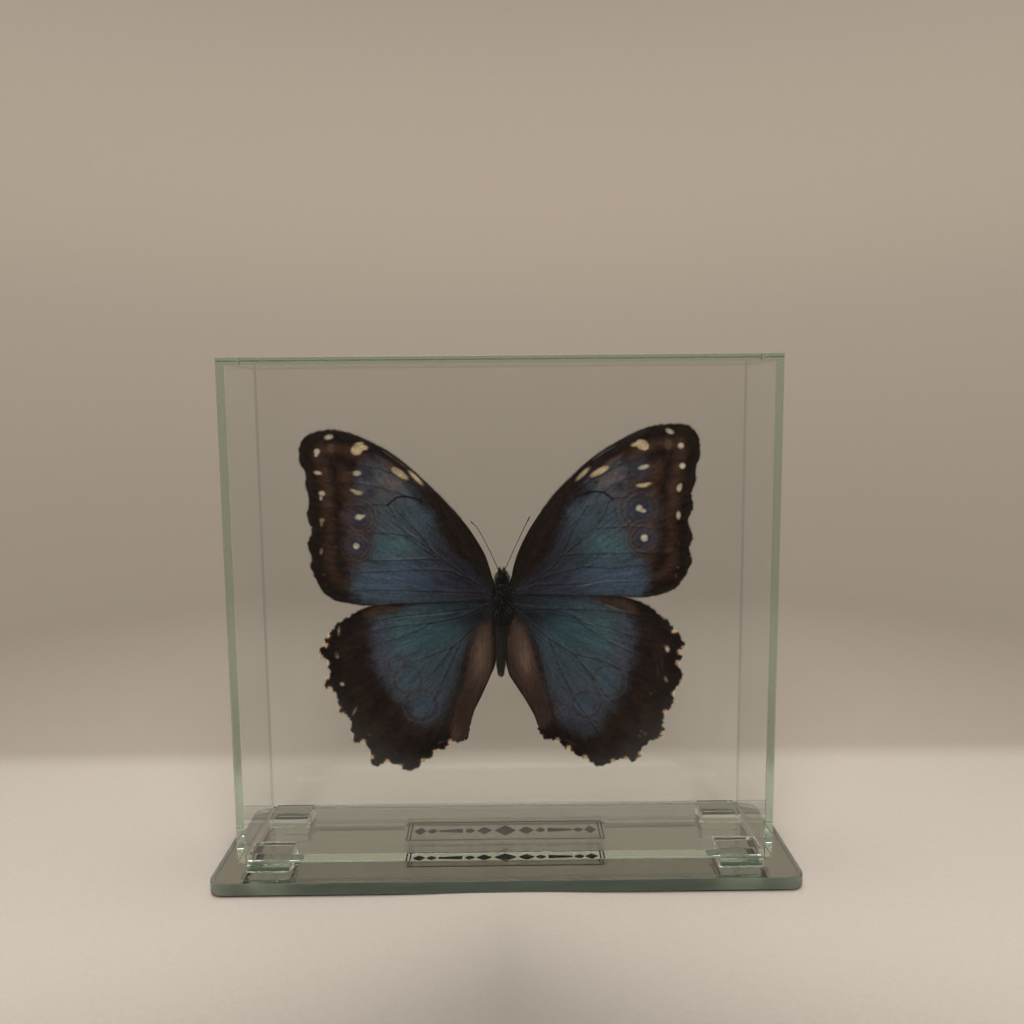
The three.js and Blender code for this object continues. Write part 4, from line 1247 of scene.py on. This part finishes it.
def abdomen():
    """The abdomen with its rings and short hair."""
    points, faces, normals = skin_of("abdomen")
    front, length, segments = -7.7, 15.8, 8
    way = (front - points[:, 1]) / length
    groove = 0.5 + 0.5 * np.cos(way * segments * 2 * math.pi)
    points = points - normals * (0.02 + 0.14 * groove ** 3)[:, None]
    points[:, 1] -= 0.7 * ramp(0.8, 1.0, way)
    grey, tip = linear((34, 31, 28)), linear((62, 56, 40))
    end = ramp(0.9, 0.96, way)[:, None]
    skin_tint = (grey * (1 - end) + tip * end) * (1 - 0.35 * groove ** 3)[:, None]
    coat = fur(points, faces, normals, 5200, (0.3, 0.7), 0.06, (0, -1.1, 0),
               [(29, 27, 24), (66, 62, 56)], lift=0.35, bend=0.15)
    behind = ramp(-21.6, -22.6, coat[0][:, 1])[:, None]
    coat = (*coat[:2], coat[2] * (1 - behind) + linear((70, 62, 44)) * behind)
    p, f, t = joined([(points, faces, skin_tint), coat])
    piece("abdomen_fur", to_part(p), f, [GREY_FUR], "grey_hair", ["abdomen"], tint=t * BODY_GAIN)


def limbs():
    """Ringed antennae that thicken into a slim club, and jointed legs with small spines."""
    steps, sides, rings = 150, 10, 44
    for side, points in ANTENNAE.items():
        path = curve_through(points, steps)
        way = np.linspace(0, 1, steps)
        wave = np.cos(way * rings * 2 * math.pi)
        club, socket = 0.09 * ramp(0.82, 0.93, way), 0.12 * ramp(0.03, 0.0, way)
        radius = (0.11 + 0.014 * wave + club) * (1 - 0.75 * ramp(0.96, 1.0, way)) + socket
        p, f = tube(path, radius, sides)
        tint = np.repeat(linear((38, 32, 26), BODY_GAIN) * (0.8 + 0.4 * wave)[:, None], sides, 0)
        piece("antenna_ringed_" + side, to_part(p), f, [HORN], "horn", ["antenna_" + side], tint=tint)
    for side, s in (("left", -1), ("right", 1)):
        for pair, points in LEGS.items():
            path = curve_through(np.array(points) * [s, 1, 1], 60)
            way = np.linspace(0, 1, 60)
            knee = 0.05 * np.exp(-((way - 0.5) / 0.04) ** 2)
            foot_joints = 0.03 * (way > 0.62) * (np.sin(way * 90) > 0.6)
            radius = (0.3 - 0.17 * way + knee) * (1 - 0.6 * ramp(0.97, 1.0, way)) - foot_joints
            p, f = tube(path, radius, sides)
            outward = p - path.repeat(sides, 0)
            spines = fur(p, f, outward, 160, (0.25, 0.5), 0.05, (0, -0.5, 0),
                         [(26, 20, 15), (60, 46, 34)], lift=1.6)
            p, f, t = joined([(p, f, linear((34, 27, 21))), spines])
            piece(f"leg_{pair}_jointed_{side}", to_part(p), f, [HORN], "horn", [f"leg_{pair}_{side}"],
                  tint=t * BODY_GAIN)


def glue_dab():
    """The clear glue that holds the thorax to the back pane."""
    points, faces, normals = skin_of("glue_dab")
    points = points + normals * (0.25 * (value_noise(points, 1.2, 8) - 0.5))[:, None]
    back = from_part(np.array([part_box("pane_back")[0]]) / MM)[0, 2]
    points[:, 2] = np.maximum(points[:, 2], back + 0.02)
    piece("glue_drop", to_part(points), faces, [GLUE], "clear_glue", ["glue_dab"])


# ---------------------------------------------------------------- floor, light and camera

FLOOR_RADIUS, SWEEP, FLOOR_SAG = 400, 220, 0.8
FLOOR_TONE, WALL_TONE, DARK_TONE = (0.57, 0.52, 0.465), (0.43, 0.38, 0.33), (0.018, 0.017, 0.016)


def sweep(sides=144):
    """Points and faces of a floor that sweeps up into a round wall and sags a little beside the case."""
    flat = [(r, 0) for r in (10, 20, 30, 45, 60, 75, 90, 120, 160, 220, 300, FLOOR_RADIUS)]
    curve = [(FLOOR_RADIUS + SWEEP * math.sin(a), SWEEP - SWEEP * math.cos(a))
             for a in np.linspace(0.1, math.pi / 2, 14)]
    wall = [(FLOOR_RADIUS + SWEEP, z) for z in (330, 450, 640)]
    profile = flat + curve + wall
    points, faces = [[0, 0, BASE]], []
    for r, z in profile:
        for i in range(sides):
            x, y = r * math.cos(2 * math.pi * i / sides), r * math.sin(2 * math.pi * i / sides)
            points.append([x, y, BASE + z - FLOOR_SAG * float(ramp(6, 35, abs(x)))])
    for i in range(sides):
        j = (i + 1) % sides
        faces.append([0, 1 + i, 1 + j])
        for k in range(len(profile) - 1):
            a, b = 1 + k * sides + i, 1 + k * sides + j
            faces.append([a, a + sides, b + sides, b])
    return points, faces


def surroundings():
    """A pale floor and a plain wall, darker in front of the case, where its front pane mirrors them and
    where they also carry painted shade. Painted light behind the case cancels the shadow it casts, and
    painted light makes the sweep lighter with height.
    """
    look = Look("studio_sweep", Roughness=0.9, Specular_IOR_Level=0.1)
    place = look.node("SeparateXYZ", {"Vector": look.node("TexCoord").outputs["Object"]})
    x, y, z = (place.outputs[axis] for axis in "XYZ")

    def number(value, low, high, a=0.0, b=1.0):
        """A number that eases from a to b while the value goes from low to high."""
        limits = {"From Min": low, "From Max": high, "To Min": a, "To Max": b}
        made = look.node("MapRange", {"Value": value, **limits}, interpolation_type="SMOOTHSTEP")
        return made.outputs["Result"]

    def maths(kind, *values):
        """One mathematics node with its sources plugged in."""
        return look.node("Math", dict(enumerate(values)), operation=kind).outputs[0]

    away, aside, forward = maths("ABSOLUTE", y), maths("ABSOLUTE", x), maths("MULTIPLY", y, -1.0)
    front = maths("DIVIDE", forward, maths("ADD", 0.015, aside))
    dark = maths("MULTIPLY", number(front, 1.4, 2.3), number(away, 0.09, 0.12))
    dark = maths("MULTIPLY", dark, number(z, 0.34, 0.2))
    # painted light: besides a fine grain, the sweep is made lighter with height, from 0.86 times on the
    # floor to 1.3 times up the wall
    grain = maths("MULTIPLY", look.spread(look.noise(1.2, 4.0), 0.975, 1.025),
                  number(z, -0.02, 0.35, 0.86, 1.3))
    beyond = maths("MAXIMUM", number(y, 0.066, 0.088), number(z, 0.01, 0.07))
    colour = look.blend(beyond, FLOOR_TONE, WALL_TONE)
    # painted shade: floor and wall in front of the case are darkened down to half, for the shade that falls
    # there, which also dims them in the front pane
    near = maths("DIVIDE", forward, maths("ADD", 0.1, aside))
    colour = look.scaled(colour, number(near, 0.15, 0.8, 1.0, 0.5))
    # painted light: the floor just behind the case is made up to 1.45 times lighter, against the shadow that
    # the case casts there
    behind = maths("MULTIPLY", number(y, 0.012, 0.03), number(y, 0.1, 0.05))
    behind = maths("MULTIPLY", behind, number(aside, 0.09, 0.055))
    colour = look.scaled(colour, maths("ADD", 1.0, maths("MULTIPLY", behind, 0.45)))
    colour = look.blend(dark, colour, DARK_TONE)
    look.plug(look.scaled(colour, grain), "Base Color")
    piece("floor_and_wall", *sweep(), [look.material], None)


def lamp(name, place, target, size, power, colour):
    """A round softbox, with its size in millimetres and its power in watts."""
    data = bpy.data.lights.new(name, "AREA")
    data.shape, data.size, data.energy, data.color = "DISK", size * MM, power, colour
    made = bpy.data.objects.new(name, data)
    made.location = Vector(place) * MM
    made.rotation_euler = (Vector(target) - Vector(place)).to_track_quat("-Z", "Y").to_euler()
    bpy.context.scene.collection.objects.link(made)


def studio():
    """The surroundings, a faint sky and two softboxes."""
    surroundings()
    scene = bpy.context.scene
    scene.world = bpy.data.worlds.new("soft_light")
    scene.world.use_nodes = True
    background = scene.world.node_tree.nodes["Background"]
    background.inputs["Color"].default_value = (1.0, 0.955, 0.89, 1.0)
    background.inputs["Strength"].default_value = 0.12
    lamp("high_softbox", (0, 40, 640), (0, 60, 40), 560, 2.7, (1.0, 0.965, 0.91))
    lamp("front_softbox", (0, -420, 470), (0, 0, 70), 340, 3.4, (1.0, 0.965, 0.92))
    scene.view_settings.view_transform = "Standard"
    scene.cycles.max_bounces = 26
    scene.cycles.transmission_bounces = 26
    scene.cycles.glossy_bounces = 12
    scene.cycles.transparent_max_bounces = 16
    scene.cycles.diffuse_bounces = 3


def camera():
    """The camera at the photo's place and angle."""
    yaw, pitch, roll = CAMERA_YAW, CAMERA_PITCH, CAMERA_ROLL
    right = Vector((math.cos(yaw), math.sin(yaw), 0))
    ahead = Vector((-math.sin(yaw) * math.cos(pitch), math.cos(yaw) * math.cos(pitch), -math.sin(pitch)))
    up = Vector((-math.sin(yaw) * math.sin(pitch), math.cos(yaw) * math.sin(pitch), math.cos(pitch)))
    right, up = math.cos(roll) * right + math.sin(roll) * up, math.cos(roll) * up - math.sin(roll) * right
    data = bpy.data.cameras.new("camera")
    data.lens, data.sensor_width, data.clip_start, data.clip_end = CAMERA_LENS, 36.0, 0.005, 10.0
    made = bpy.data.objects.new("camera", data)
    turn = Matrix((right, up, -ahead)).transposed().to_4x4()
    made.matrix_world = Matrix.Translation(Vector(CAMERA_PLACE) * MM) @ turn
    bpy.context.scene.collection.objects.link(made)
    bpy.context.scene.camera = made


camera()
studio()
CASE_BOTTOM = case()
plate()
blocks(CASE_BOTTOM)
label()
for SIDE, FORE_MARKS, HIND_MARKS in (("left", FORE_LEFT, HIND_LEFT), ("right", FORE_RIGHT, HIND_RIGHT)):
    SIGN = -1 if SIDE == "left" else 1
    wing("forewing_" + SIDE, SIGN, FORE_MARKS, True, 0.0)
    wing("hindwing_" + SIDE, SIGN, HIND_MARKS, False, -0.8)
thorax()
head()
eyes_and_proboscis()
abdomen()
limbs()
glue_dab()
